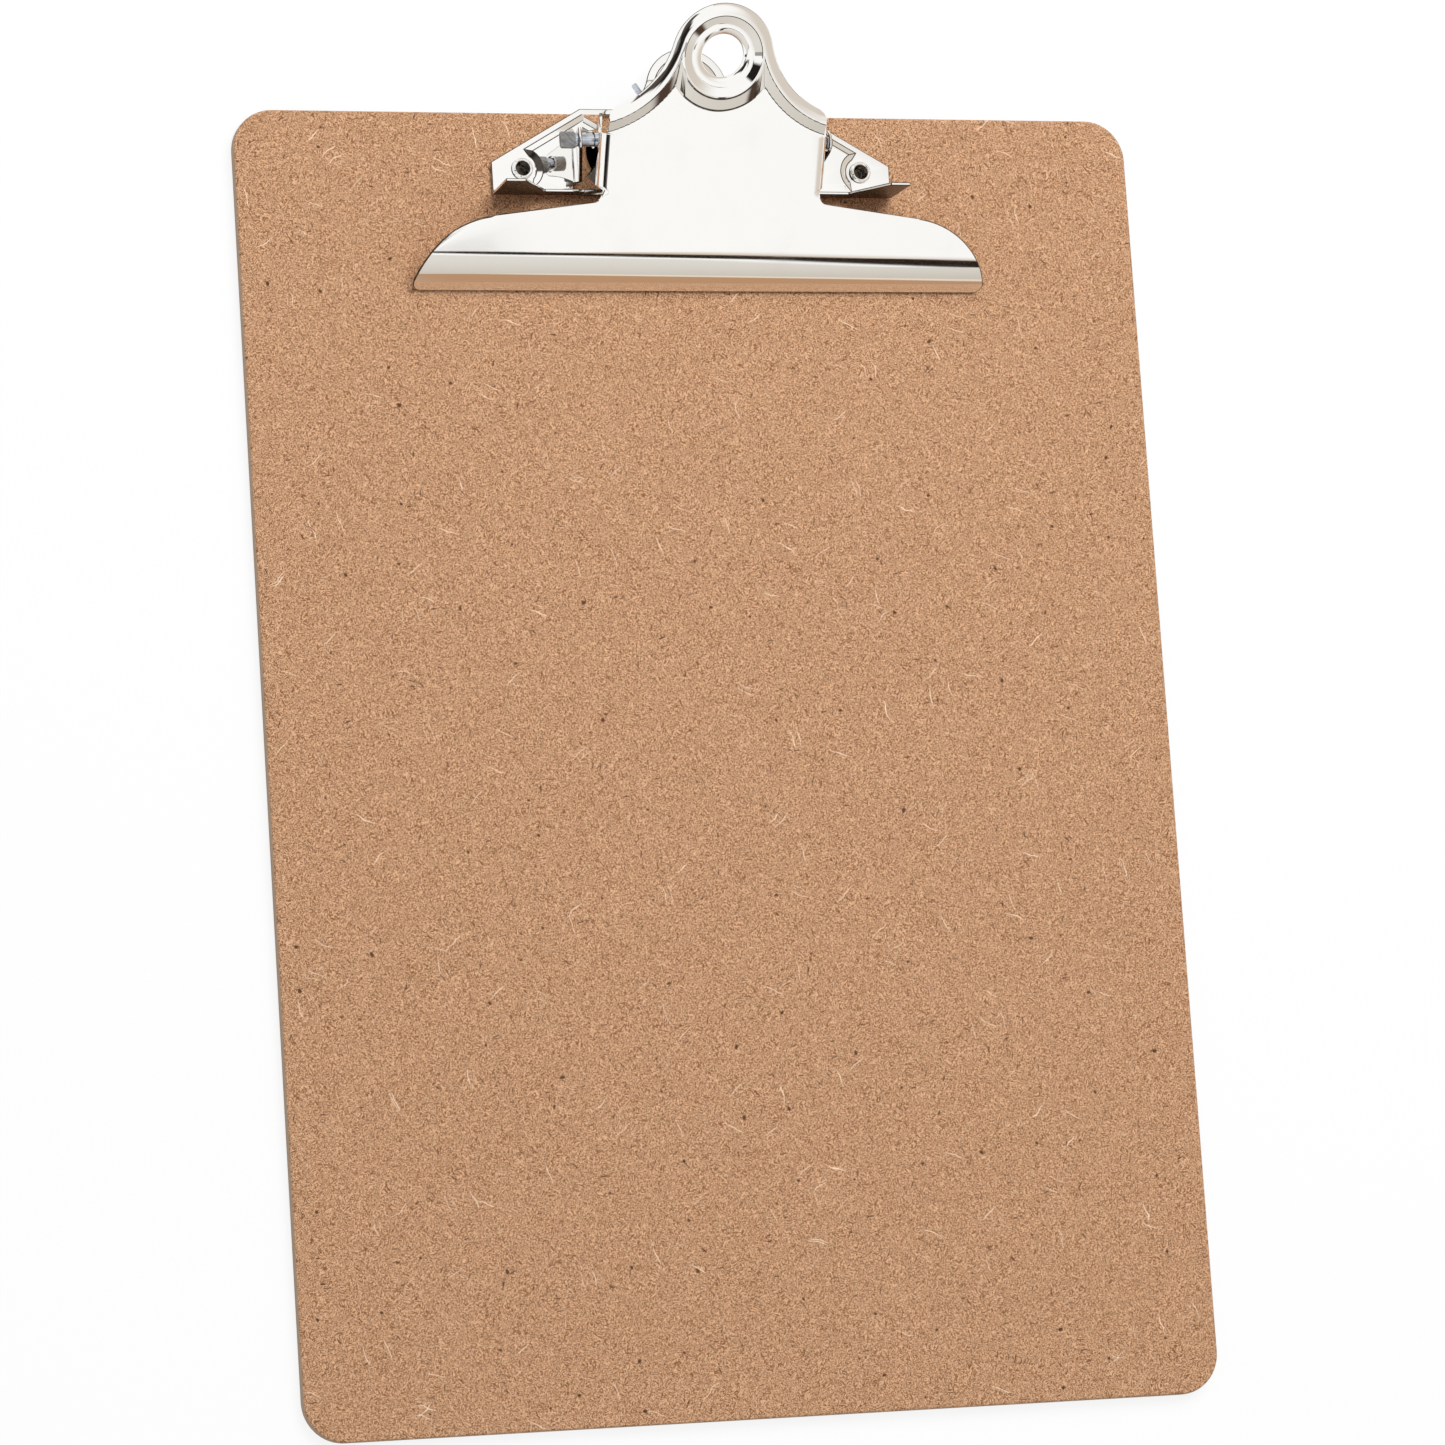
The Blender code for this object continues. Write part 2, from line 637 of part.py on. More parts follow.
def inner_bead_line(share):
    """Level line on the bead's inner side: shoulder, sweep, valley, and under the eye to the middle."""
    eye = (0, EYE_REACH)
    center = sweep_center()
    sweep_radius = SWEEP_RADIUS + BEAD_OUTER + BEAD_SWEEP * share
    ring_radius = LOOP_RADIUS - BEAD_OUTER + BEAD_RING * share
    valley = circles_meet(eye, ring_radius, center, sweep_radius, -1)
    sweep = sweep_run(sweep_radius, bearing(center, valley) % 360)
    return chain(sweep, arc(eye, ring_radius, bearing(eye, valley), -90, RING_STEPS))


def add_bead(bm):
    """Bead along the finger lever's edge and round its eye: round to the rim, a bevel to the flat field."""
    outer = [i / BEAD_ROWS for i in range(BEAD_ROWS + 1)]
    outer_rows = [at_height(outer_bead_line(i), JAW_RISE + BEAD_HEIGHT * (1 - (1 - i) ** 2)) for i in outer]
    inner_rows = [
        at_height(inner_bead_line(i), JAW_RISE + BEAD_HEIGHT * bevel_fall(i)) for i in bevel_shares()
    ]
    add_loft(bm, outer_rows)
    add_loft(bm, inner_rows)


def add_eye(bm):
    """Funnel inside the bead, with a narrow floor and a hole whose edge is rolled down."""
    crest = LOOP_RADIUS - BEAD_OUTER
    join = bearing((0, EYE_REACH), sweep_center())
    floor = JAW_RISE - EYE_SINK
    drop = BEAD_HEIGHT + EYE_SINK
    levels = [(crest + (EYE_FLAT - crest) * i, floor + drop * bevel_fall(i)) for i in bevel_shares()]
    for inward, level in arc((0, 0), 1, 90, 180, LIP_ROWS):
        levels.append((EYE_HOLE + EYE_LIP * (1 + inward), floor - EYE_LIP_DROP * (1 - level)))
    rows = []
    for radius, height in levels:
        ring = chain(
            arc((0, EYE_REACH), radius, -90, join, RING_STEPS),
            arc((0, EYE_REACH), radius, join, 90, LOOP_STEPS),
        )
        rows.append(at_height(ring, height))
    add_loft(bm, rows)


def cheek_bend(y, turn):
    """Row across the cheek's bend at one place along it, bent by so much of a full turn."""
    flat_edge = CHEEK_HALF - CHEEK_BEND
    return [
        (flat_edge + CHEEK_BEND * math.sin(a * turn), y, JAW_RISE - CHEEK_BEND * (1 - math.cos(a * turn)))
        for a in quarter_turn()
    ]


def add_cheek(bm):
    """Side flange bent down from the plate: a round end about the pin, and a rim on to the notch."""
    flat_edge = CHEEK_HALF - CHEEK_BEND
    rim_turn = RIM_WIDTH / CHEEK_BEND / math.radians(90)
    rim_end = line((flat_edge, -RIM_FRONT), (flat_edge + RIM_WIDTH, -RIM_FRONT), BEND_STEPS)
    add_loft(bm, [
        at_height(rim_end, JAW_RISE),
        cheek_bend(-RIM_REAR, rim_turn),
        cheek_bend(-CHEEK_FRONT, 1.0),
        cheek_bend(CHEEK_REAR, 1.0),
    ])
    top = JAW_RISE - CHEEK_BEND
    end = touch_angle((-CHEEK_FRONT, top), (0, 0), CHEEK_ROUND, 1) - 360
    heel = (CHEEK_HEEL_REACH, CHEEK_HEEL_RISE)
    round_edge = arc((0, 0), CHEEK_ROUND, CHEEK_REAR_TURN, end, END_STEPS)
    outline = [(CHEEK_REAR, top), heel] + round_edge + [(-CHEEK_FRONT, top)]
    hole = ring((0, 0), PIN_HOLE)
    add_flat(bm, [[(CHEEK_HALF, y, z) for y, z in loop] for loop in (outline, hole)])


def make_jaw_plate(collection, material):
    """Half of the front lever: rolled jaw, flat field, cheek, beaded edge and eye."""
    in_roll, in_flat = jaw_sides()
    bm = bmesh.new()
    rows = [
        [rolled(*point) for point in line((0, along), (across, along), JAW_COLUMNS)]
        for across, along in in_roll
    ]
    add_loft(bm, rows)
    flat_edge = CHEEK_HALF - CHEEK_BEND
    side = [rolled(*point)[:2] for point in in_flat]
    base = [point[:2] for point in rows[-1]]
    rim_end = line((flat_edge + RIM_WIDTH, -RIM_FRONT), (flat_edge, -RIM_FRONT), BEND_STEPS)
    cheek_line = [(flat_edge, y) for y in (-RIM_REAR, -CHEEK_FRONT, CHEEK_REAR)]
    field = chain(base, side, rim_end, cheek_line, inner_bead_line(1.0))
    add_flat(bm, [at_height(field, JAW_RISE)])
    add_cheek(bm)
    add_bead(bm)
    add_eye(bm)
    jaw = finish_sheet(bm, "jaw_plate", collection, material)
    jaw.location = (0, PIN_Y, PIN_Z)
    jaw.rotation_euler = (TILT, 0, 0)
    return jaw


def lower_leg_rest():
    """Where the spring's lower leg lies on the rear lever's edge, from the pin."""
    center = lever_sweep_center()
    angle = math.radians(LOWER_LEG_ANGLE)
    across = center[0] - LEVER_SWEEP * math.cos(angle)
    back = center[1] - LEVER_SWEEP * math.sin(angle)
    return Vector((-across, back, RIM_TOP + WIRE_RADIUS + SEAT_GAP - PIN_HEIGHT))


def upper_leg_tip():
    """Where the spring's upper leg ends under the jaw plate, from the pin, before the coil's offset."""
    below = JAW_RISE - SHEET - SEAT_GAP - WIRE_RADIUS
    back = UPPER_LEG_REACH * math.cos(TILT) - below * math.sin(TILT)
    return Vector((0, back, UPPER_LEG_REACH * math.sin(TILT) + below * math.cos(TILT)))


def spring_path():
    """Middle of the spring's wire, from the pin: lower leg, coil and upper leg."""
    rest = lower_leg_rest()
    tip = upper_leg_tip()
    first = touch_angle((rest.y, rest.z), (0, 0), COIL_RADIUS, -1) % 360
    last = touch_angle((tip.y, tip.z), (0, 0), COIL_RADIUS, 1)
    turned = first - last + 360 * COIL_TURNS
    steps = round(turned * COIL_POINTS / 360)
    length = COIL_PITCH * turned / 360
    coil = []
    for i, (y, z) in enumerate(arc((0, 0), COIL_RADIUS, first, first - turned, steps)):
        coil.append(Vector((length * (i / steps - 0.5), y, z)))
    onward = (rest - coil[0]).normalized()
    lower_tip = rest + onward * LOWER_LEG_OVERHANG
    tip.x = length / 2
    lower_leg = [lower_tip.lerp(coil[0], i / LEG_STEPS) for i in range(LEG_STEPS)]
    upper_leg = [coil[-1].lerp(tip, (i + 1) / LEG_STEPS) for i in range(LEG_STEPS)]
    return lower_leg + coil + upper_leg


def least_gap(path):
    """Least gap between turns of a wire, on points at least half a turn apart."""
    apart = COIL_POINTS // 2
    nearest = min(
        (path[j] - path[i]).length
        for i in range(len(path)) for j in range(i + apart, len(path)))
    return nearest - 2 * WIRE_RADIUS


def make_spring(collection, material):
    """Torsion spring wound on the pin, as one unbroken wire."""
    path = spring_path()
    curve = bpy.data.curves.new("torsion_spring", "CURVE")
    curve.dimensions = "3D"
    curve.bevel_depth = WIRE_RADIUS
    curve.bevel_resolution = 1
    curve.use_fill_caps = True
    spline = curve.splines.new("POLY")
    spline.points.add(len(path) - 1)
    for point, place in zip(spline.points, path):
        point.co = (*place, 1)
    spring = new_piece("torsion_spring", curve, collection, material)
    spring.location = (0, PIN_Y, PIN_Z)
    print(f"torsion_spring: least gap to itself {least_gap(path) * 1000:.2f} mm")
    return spring


def scene_collection(name):
    collection = bpy.data.collections.new(name)
    bpy.context.scene.collection.children.link(collection)
    return collection


def main():
    for old in list(bpy.data.objects):
        bpy.data.objects.remove(old, do_unlink=True)
    parts = scene_collection("clipboard")
    cutters = scene_collection("cutters")
    hardboard = new_material("hardboard", *HARDBOARD)
    nickel = new_material("nickel_plate", *NICKEL_PLATE)
    zinc = new_material("zinc_steel", *ZINC_STEEL)
    make_board(parts, cutters, hardboard)
    make_base_plate(parts, nickel)
    make_jaw_plate(parts, nickel)
    make_pin(parts, zinc)
    make_spring(parts, zinc)
    for side, place in rivet_places().items():
        make_rivet(side, place, parts, nickel)


main()
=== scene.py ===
# %% [markdown]
# # A hardboard clipboard with a sprung lever clip
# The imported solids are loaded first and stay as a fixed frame: they say where every piece goes and
# how the jaw turns. The pieces below stand for those solids with finer shapes and real finishes.

# %% Load the fixed frame
import math

import bmesh
import bpy
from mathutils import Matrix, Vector


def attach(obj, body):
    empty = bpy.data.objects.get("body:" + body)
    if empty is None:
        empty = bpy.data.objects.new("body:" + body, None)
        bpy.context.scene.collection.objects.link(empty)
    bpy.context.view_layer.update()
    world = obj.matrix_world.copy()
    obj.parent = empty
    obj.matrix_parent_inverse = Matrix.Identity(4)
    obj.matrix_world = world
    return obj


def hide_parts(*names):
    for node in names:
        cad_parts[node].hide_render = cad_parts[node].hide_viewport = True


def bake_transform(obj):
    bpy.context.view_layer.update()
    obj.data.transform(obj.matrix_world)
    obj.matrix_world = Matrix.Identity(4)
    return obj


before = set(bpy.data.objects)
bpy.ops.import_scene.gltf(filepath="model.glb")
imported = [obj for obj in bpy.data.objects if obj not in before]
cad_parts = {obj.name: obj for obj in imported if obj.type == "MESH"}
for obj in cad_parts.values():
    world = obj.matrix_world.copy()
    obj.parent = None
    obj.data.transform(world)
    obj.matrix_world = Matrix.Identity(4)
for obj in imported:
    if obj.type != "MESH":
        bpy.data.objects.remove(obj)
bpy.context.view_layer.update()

# %% [markdown]
# Each of Blender's operators works on whatever is selected, so a few small tools come first. A piece
# is picked alone and opened in edit mode, and its points, edges or faces are chosen by a test, such
# as where they lie or which way they look.

# %% Tools for picking
def pick(piece):
    """Leave object mode's selection with this piece alone."""
    if bpy.context.mode != "OBJECT":
        bpy.ops.object.mode_set(mode="OBJECT")
    bpy.ops.object.select_all(action="DESELECT")
    piece.select_set(True)
    bpy.context.view_layer.objects.active = piece


def take_new(name):
    """Name the primitive that was just added, with its size and turn put into its mesh."""
    piece = bpy.context.object
    piece.name = name
    piece.data.name = name
    bpy.ops.object.transform_apply(location=True, rotation=True, scale=True)
    return piece


def edit(piece, kind):
    """Open a piece in edit mode with nothing selected: kind is VERT, EDGE or FACE."""
    pick(piece)
    bpy.ops.object.mode_set(mode="EDIT")
    bpy.ops.mesh.select_mode(type=kind)
    bpy.ops.mesh.select_all(action="DESELECT")


def choose(piece, kind, test):
    """Select the points, edges or faces that pass a test, and say how many did."""
    bpy.ops.mesh.select_mode(type=kind)
    bpy.ops.mesh.select_all(action="DESELECT")
    shape = bmesh.from_edit_mesh(piece.data)
    parts = {"VERT": shape.verts, "EDGE": shape.edges, "FACE": shape.faces}[kind]
    chosen = [part for part in parts if test(part)]
    for part in chosen:
        part.select_set(True)
    shape.select_flush_mode()
    bmesh.update_edit_mesh(piece.data)
    return len(chosen)


print("solids to dress:", ", ".join(sorted(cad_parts)))

# %% [markdown]
# Every piece ends in the same way. Its modifiers are applied, its round stretches are shaded smooth,
# it gets its finishes, and it takes the place of its solid on the body that carries it.

# %% Tools for finishing
WELD = 0.000001
WEIGH_BY_AREA = 100


def apply_modifier(piece, kind, **settings):
    """Add a modifier, set it and apply it."""
    pick(piece)
    modifier = piece.modifiers.new(kind.title(), kind)
    for name, value in settings.items():
        setattr(modifier, name, value)
    bpy.ops.object.modifier_apply(modifier=modifier.name)


def merge_and_close():
    """Merge the open piece's doubled points, turn its faces outwards and leave edit mode."""
    bpy.ops.mesh.select_all(action="SELECT")
    bpy.ops.mesh.remove_doubles(threshold=WELD)
    bpy.ops.mesh.normals_make_consistent(inside=False)
    bpy.ops.object.mode_set(mode="OBJECT")


def smooth(piece, angle):
    """Shade round stretches smooth, and keep flats flat by weighing normals by area."""
    pick(piece)
    bpy.ops.object.shade_smooth_by_angle(angle=math.radians(angle))
    apply_modifier(piece, "WEIGHTED_NORMAL", keep_sharp=True, weight=WEIGH_BY_AREA)


def finish_with(piece, *finishes):
    """Give a piece its finishes: the first all over, the others for chosen faces."""
    piece.data.materials.clear()
    for finish in finishes:
        piece.data.materials.append(finish)


def paint(piece, place, test):
    """Give the faces that pass a test another of the piece's finishes."""
    edit(piece, "FACE")
    painted = choose(piece, "FACE", test)
    piece.active_material_index = place
    bpy.ops.object.material_slot_assign()
    bpy.ops.object.mode_set(mode="OBJECT")
    return painted


def triangles(piece):
    """Number of triangles that a piece's faces split into."""
    return sum(len(face.vertices) - 2 for face in piece.data.polygons)


def dress(piece, node, body):
    """Put a finished piece in place of a solid and on its body."""
    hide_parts(node)
    if body:
        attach(piece, body)
    print(f"{piece.name}: {triangles(piece)} triangles, stands for {node}")


# %% [markdown]
# Finishes are node materials. Writing their sums as Python keeps them readable, so one small class
# wraps a node's output: adding or multiplying two of them adds the Math node that does it.

# %% A socket that can be used in sums
class Wire:
    """One output of a shader node. Sums of wires add Math nodes to the same tree."""

    def __init__(self, tree, socket=None):
        self.tree = tree
        self.socket = socket

    def node(self, kind, settings, inputs, output=0):
        """Add a node: its type, its settings, and the values or wires of its sockets."""
        made = self.tree.nodes.new("ShaderNode" + kind)
        for name, value in settings.items():
            setattr(made, name, value)
        for name, value in inputs.items():
            if isinstance(value, Wire):
                self.tree.links.new(value.socket, made.inputs[name])
            else:
                made.inputs[name].default_value = value
        return Wire(self.tree, made.outputs[output] if len(made.outputs) else None)

    def sibling(self, output):
        """Another output of the same node."""
        return Wire(self.tree, self.socket.node.outputs[output])

    def math(self, operation, first, second=0.0):
        return self.node("Math", {"operation": operation}, {0: first, 1: second})

    def __add__(self, other):
        return self.math("ADD", self, other)

    def __radd__(self, other):
        return self.math("ADD", other, self)

    def __sub__(self, other):
        return self.math("SUBTRACT", self, other)

    def __rsub__(self, other):
        return self.math("SUBTRACT", other, self)

    def __mul__(self, other):
        return self.math("MULTIPLY", self, other)

    def __rmul__(self, other):
        return self.math("MULTIPLY", other, self)

    def __truediv__(self, other):
        return self.math("DIVIDE", self, other)

    def size(self):
        """The value without its sign."""
        return self.math("ABSOLUTE", self)

    def at_least(self, other):
        """The larger of two values."""
        return self.math("MAXIMUM", self, other)

    def above(self, low, high):
        """Rises smoothly from 0 at low to 1 at high."""
        settings = {"interpolation_type": "SMOOTHSTEP"}
        return self.node("MapRange", settings, {0: self, 1: low, 2: high})

    def below(self, low, high):
        """Falls smoothly from 1 at low to 0 at high."""
        return 1 - self.above(low, high)

    def within(self, low, high, soft):
        """1 between two values and 0 outside them, with soft ends."""
        return self.above(low - soft, low + soft) * self.below(high - soft, high + soft)

    def between(self, colour, other):
        """A colour at 0, another at 1. The Mix node's colours are its sockets 6 and 7."""
        settings = {"data_type": "RGBA"}
        return self.node("Mix", settings, {0: self, 6: colour, 7: other}, output=2)


# %% [markdown]
# A finish starts from Blender's plain shader. Its patterns read the piece's own coordinates, which are
# metres here, so a noise of scale 1000 has spots about a millimetre wide. A noise on coordinates that
# are squeezed one way runs in streaks, as wood fibres and polishing lines do.

# %% Tools for finishes
def start_finish(name):
    """A new material with its plain shader, and a wire to its coordinates."""
    material = bpy.data.materials.new(name)
    material.use_nodes = True
    shader = material.node_tree.nodes["Principled BSDF"]
    place = Wire(material.node_tree).node("TexCoord", {}, {}, output="Object")
    return material, shader, place


def connect(shader, sockets):
    """Link wires to the shader's sockets, or set them to one value all over."""
    for name, value in sockets.items():
        if isinstance(value, Wire):
            value.tree.links.new(value.socket, shader.inputs[name])
        else:
            shader.inputs[name].default_value = value


def noise(place, scale, detail, output=0):
    """Soft random spots. Output 1 is a random colour instead of a value."""
    return place.node("TexNoise", {}, {"Vector": place, "Scale": scale, "Detail": detail}, output)


def stretched(place, turn, along, across):
    """Coordinates turned on the surface and squeezed, so that a pattern on them runs in streaks."""
    turned = place.node("Mapping", {}, {"Vector": place, "Rotation": (0, 0, math.radians(turn))})
    return place.node("Mapping", {}, {"Vector": turned, "Scale": (along, across, along)})


def streaks(place, turn, along, across, detail):
    """Noise in streaks that lie one way."""
    return noise(stretched(place, turn, along, across), 1.0, detail)


def axis_of(place, axis):
    """One of the three numbers of a place or of a direction."""
    return place.node("SeparateXYZ", {}, {0: place}, output=axis)


def bumps(height, strength, distance):
    """Normals of a surface with a fine relief."""
    return height.node("Bump", {}, {"Strength": strength, "Distance": distance, "Height": height})


def opaque(colour):
    """A colour with the fourth number that sockets want."""
    return (*colour, 1)

# %% [markdown]
# Hardboard is wood fibre pressed flat, and its face is a warm tan felt of very short fibres. They lie
# every way, so four streaky noises are turned four ways, and in each small patch two slower noises
# choose one of the four. The coordinates are pushed about a little first, so that no fibre is straight.

# %% Felt of the hardboard
FELT_TURNS = (12, 57, 101, 148)
FELT_ALONG = 1800
FELT_ACROSS = 6200
FELT_PATCHES = (1400.0, 1050.0)
PATCH_EDGE = (0.44, 0.56)
CURL_SCALE = 240.0
CURL_REACH = 0.0022


def curled_place(place):
    """Coordinates pushed about by a soft noise."""
    push = noise(place, CURL_SCALE, detail=1.0, output=1)
    bent = place.node("VectorMath", {"operation": "SCALE"}, {0: push, "Scale": CURL_REACH})
    return place.node("VectorMath", {"operation": "ADD"}, {0: place, 1: bent})


def pressed_felt(place):
    """Very short fibres pressed together. In each small patch they lie one of four ways."""
    lays = [streaks(place, turn, FELT_ALONG, FELT_ACROSS, detail=0.0) for turn in FELT_TURNS]
    patch, other = [noise(place, scale, detail=0.0).above(*PATCH_EDGE) for scale in FELT_PATCHES]
    first = lays[0] + patch * (lays[1] - lays[0])
    second = lays[2] + patch * (lays[3] - lays[2])
    return first + other * (second - first)


print("felt: fibres lie", len(FELT_TURNS), "ways")

# %% [markdown]
# A few longer fibres, pale or dark, lie in the felt, with specks of bark among them. The cells of a
# squeezed Voronoi pattern are long and narrow, so the middle of a cell makes a fibre, and the cell's
# own random number leaves most of them out. Cells that aren't squeezed give the specks in that way.

# %% Fibres and specks
FLAT_CELLS = {"voronoi_dimensions": "2D"}
FIBRE_OF_CELL = 0.2
FIBRE_EDGE = (0.06, 0.12)
PALE_TURNS = (20, 75, 140)
PALE_FIBRE = {"length": 0.0054, "width": 0.00022, "share": 0.06}
DARK_TURNS = (50, 105, 170)
DARK_FIBRE = {"length": 0.0018, "width": 0.00028, "share": 0.14}
SPECK_CELLS = 66.0
SPECK_SIZE = 0.029
SPECK_EDGE = (-0.006, 0.012)


def random_of(cells):
    """A random number that is the same all over a cell."""
    return cells.node("SeparateColor", {}, {0: cells.sibling("Color")})


def strands(place, turn, length, width, share):
    """Single fibres that lie one way. Few cells have one, and fewer have a strong one."""
    squeezed = stretched(place, turn, FIBRE_OF_CELL / length, FIBRE_OF_CELL / width)
    from_middle = place.node("TexVoronoi", FLAT_CELLS, {"Vector": squeezed, "Scale": 1.0})
    return from_middle.below(*FIBRE_EDGE) * random_of(from_middle).above(1 - share, 1.0)


def long_fibres(place, turns, fibre):
    """Fibres of one kind that lie several ways."""
    total = 0.0
    for turn in turns:
        total = strands(place, turn, **fibre) + total
    return total


def specks(place):
    """Round specks, each with a size of its own."""
    from_middle = place.node("TexVoronoi", FLAT_CELLS, {"Vector": place, "Scale": SPECK_CELLS})
    size = random_of(from_middle) * SPECK_SIZE
    return (from_middle - size).below(*SPECK_EDGE)


print("fibres:", PALE_FIBRE["length"], "m pale,", DARK_FIBRE["length"], "m dark")

# %% [markdown]
# The felt, the fibres and the specks are laid over each other from the most common to the rarest. The
# same felt raises a little grain. The sawn edge of the panel is greyer than its faces, and the normal
# tells them apart.

# %% Hardboard
FELT_PALE = (0.752, 0.458, 0.276)
FELT_DEEP = (0.228, 0.098, 0.038)
FELT_TONES = (0.30, 0.70)
FIBRE_PALE = (0.950, 0.740, 0.560)
FIBRE_DARK = (0.070, 0.026, 0.012)
FIBRE_COVER = 0.9
FIBRE_RELIEF = 0.2
SAWN_EDGE = (0.430, 0.330, 0.250)
SAWN_COVER = 0.85
SAWN_SLOPE = (0.35, 0.8)
CLOUD_SCALE = 28.0
BOARD_ROUGHNESS = 0.86
FELT_SMOOTHER = 0.12
CLOUD_ROUGHER = 0.05
BOARD_SHEEN = 0.25


def sawn_sides(place):
    """1 on the panel's sides and 0 on its faces."""
    facing = place.node("NewGeometry", {}, {}, output="Normal")
    return axis_of(facing, "Z").size().below(*SAWN_SLOPE)


def hardboard_finish():
    material, shader, place = start_finish("hardboard_felt")
    curled = curled_place(place)
    felt = pressed_felt(curled)
    pale = long_fibres(curled, PALE_TURNS, PALE_FIBRE)
    dark = long_fibres(curled, DARK_TURNS, DARK_FIBRE)
    colour = felt.above(*FELT_TONES).between(opaque(FELT_DEEP), opaque(FELT_PALE))
    colour = (pale * FIBRE_COVER).between(colour, opaque(FIBRE_PALE))
    colour = (dark * FIBRE_COVER).between(colour, opaque(FIBRE_DARK))
    colour = (specks(curled) * FIBRE_COVER).between(colour, opaque(FIBRE_DARK))
    colour = (sawn_sides(place) * SAWN_COVER).between(colour, opaque(SAWN_EDGE))
    grain = felt + pale * FIBRE_RELIEF - dark * FIBRE_RELIEF
    cloud = noise(place, CLOUD_SCALE, detail=3.0)
    roughness = BOARD_ROUGHNESS - felt * FELT_SMOOTHER + cloud * CLOUD_ROUGHER
    connect(shader, {"Base Color": colour, "Roughness": roughness, "Specular IOR Level": BOARD_SHEEN,
                     "Normal": bumps(grain, strength=0.25, distance=0.00008)})
    return material


hardboard = hardboard_finish()
print("finish:", hardboard.name)

# %% [markdown]
# The clip's plates are pressed steel with bright nickel plate. Nickel is a mirror with a slightly
# warm tone. Handling leaves faint smudges and hair-fine polishing lines, which hardly touch the
# colour and the roughness, so the mirror stays clean. The cut edges, the tight folds, the stops
# and the rivets' bores get a second, dark nickel with a lighter mottle: painted shade and painted
# dark reflections, darker than the plating itself.

# %% Nickel plate
NICKEL = (0.955, 0.945, 0.920)
NICKEL_SMUDGED = (0.930, 0.915, 0.885)
SMUDGE_SCALE = 70.0
SMUDGE_EDGE = (0.50, 0.72)
SMUDGE_COVER = 0.7
NICKEL_ROUGHNESS = 0.035
SMUDGE_ROUGHER = 0.012
POLISH_ROUGHER = 0.010
POLISH_LINES = {"turn": 6, "along": 60, "across": 4200, "detail": 1.0}
POLISH_EDGE = (0.55, 0.80)
# Colours of the painted shade: dark, and a little lighter in a random mottle.
PAINTED_SHADE = (0.085, 0.072, 0.060)
PAINTED_SHADE_PALER = (0.180, 0.155, 0.130)
SHADE_MOTTLE_SCALE = 900.0
SHADE_MOTTLE_EDGE = (0.48, 0.72)
PAINTED_SHADE_ROUGHNESS = 0.20
SHADE_MOTTLE_ROUGHER = 0.15


def nickel_finish():
    material, shader, place = start_finish("bright_nickel")
    smudge = noise(place, SMUDGE_SCALE, detail=4.0).above(*SMUDGE_EDGE)
    polish = streaks(place, **POLISH_LINES).above(*POLISH_EDGE)
    colour = (smudge * SMUDGE_COVER).between(opaque(NICKEL), opaque(NICKEL_SMUDGED))
    roughness = NICKEL_ROUGHNESS + smudge * SMUDGE_ROUGHER + polish * POLISH_ROUGHER
    connect(shader, {"Base Color": colour, "Roughness": roughness, "Metallic": 1.0})
    return material


# Painted shade: a dark nickel for faces that stand in shade or mirror dark things.
def shade_nickel_finish():
    material, shader, place = start_finish("painted_shade_nickel")
    shade_mottle = noise(place, SHADE_MOTTLE_SCALE, detail=3.0)
    colour = shade_mottle.above(*SHADE_MOTTLE_EDGE).between(opaque(PAINTED_SHADE), opaque(PAINTED_SHADE_PALER))
    roughness = PAINTED_SHADE_ROUGHNESS + shade_mottle * SHADE_MOTTLE_ROUGHER
    connect(shader, {"Base Color": colour, "Roughness": roughness, "Metallic": 1.0})
    return material


nickel = nickel_finish()
shade_nickel = shade_nickel_finish()
print("finishes:", nickel.name, shade_nickel.name)

# %% [markdown]
# The pin and the spring are drawn steel wire with pale blue zinc plate. Drawing leaves streaks along
# the wire, so the colour and the relief follow the streaks. The pin's struck end lost its shine under
# the hammer: left of a line across the pin it is a matt, scratched grey.

# %% Zinc plate
ZINC_PALE = (0.800, 0.840, 0.900)
ZINC_DEEP = (0.420, 0.460, 0.530)
ZINC_TONES = (0.36, 0.66)
DRAWN_STREAKS = {"turn": 0, "along": 90, "across": 3600, "detail": 2.0}
STREAK_SHARE = 0.6
ZINC_CLOUDS = 420.0
STRUCK_PALE = (0.420, 0.425, 0.430)
STRUCK_DEEP = (0.240, 0.243, 0.248)
STRUCK_TONES = (0.34, 0.62)
STRUCK_SCRATCHES = {"turn": 35, "along": 500, "across": 3000, "detail": 3.0}
STRUCK_FROM = -0.0334
STRUCK_EDGE = (STRUCK_FROM - 0.0003, STRUCK_FROM + 0.0001)
ZINC_ROUGHNESS = 0.16
ZINC_CLOUD_ROUGHER = 0.16
STRUCK_ROUGHER = 0.30


def zinc_finish():
    material, shader, place = start_finish("zinc_wire")
    streak = streaks(place, **DRAWN_STREAKS)
    cloud = noise(place, ZINC_CLOUDS, detail=3.0)
    mixed = streak * STREAK_SHARE + cloud * (1 - STREAK_SHARE)
    drawn_colour = mixed.above(*ZINC_TONES).between(opaque(ZINC_DEEP), opaque(ZINC_PALE))
    scratch = streaks(place, **STRUCK_SCRATCHES)
    struck_colour = scratch.above(*STRUCK_TONES).between(opaque(STRUCK_DEEP), opaque(STRUCK_PALE))
    struck = axis_of(place, "X").below(*STRUCK_EDGE)
    colour = struck.between(drawn_colour, struck_colour)
    roughness = ZINC_ROUGHNESS + cloud * ZINC_CLOUD_ROUGHER + struck * STRUCK_ROUGHER
    normal = bumps(streak + struck * scratch, strength=0.15, distance=0.00004)
    connect(shader, {"Base Color": colour, "Roughness": roughness, "Metallic": 1.0, "Normal": normal})
    return material


zinc = zinc_finish()
print("finish:", zinc.name)

# %% [markdown]
# The board is one sawn panel with round corners and sanded edges, drilled for two rivets whose heads
# are sunk in the back. A box with its corners bevelled is the plainest way, and real holes are cut
# with a Boolean, because the rivets show through the window of the base plate and on the back.

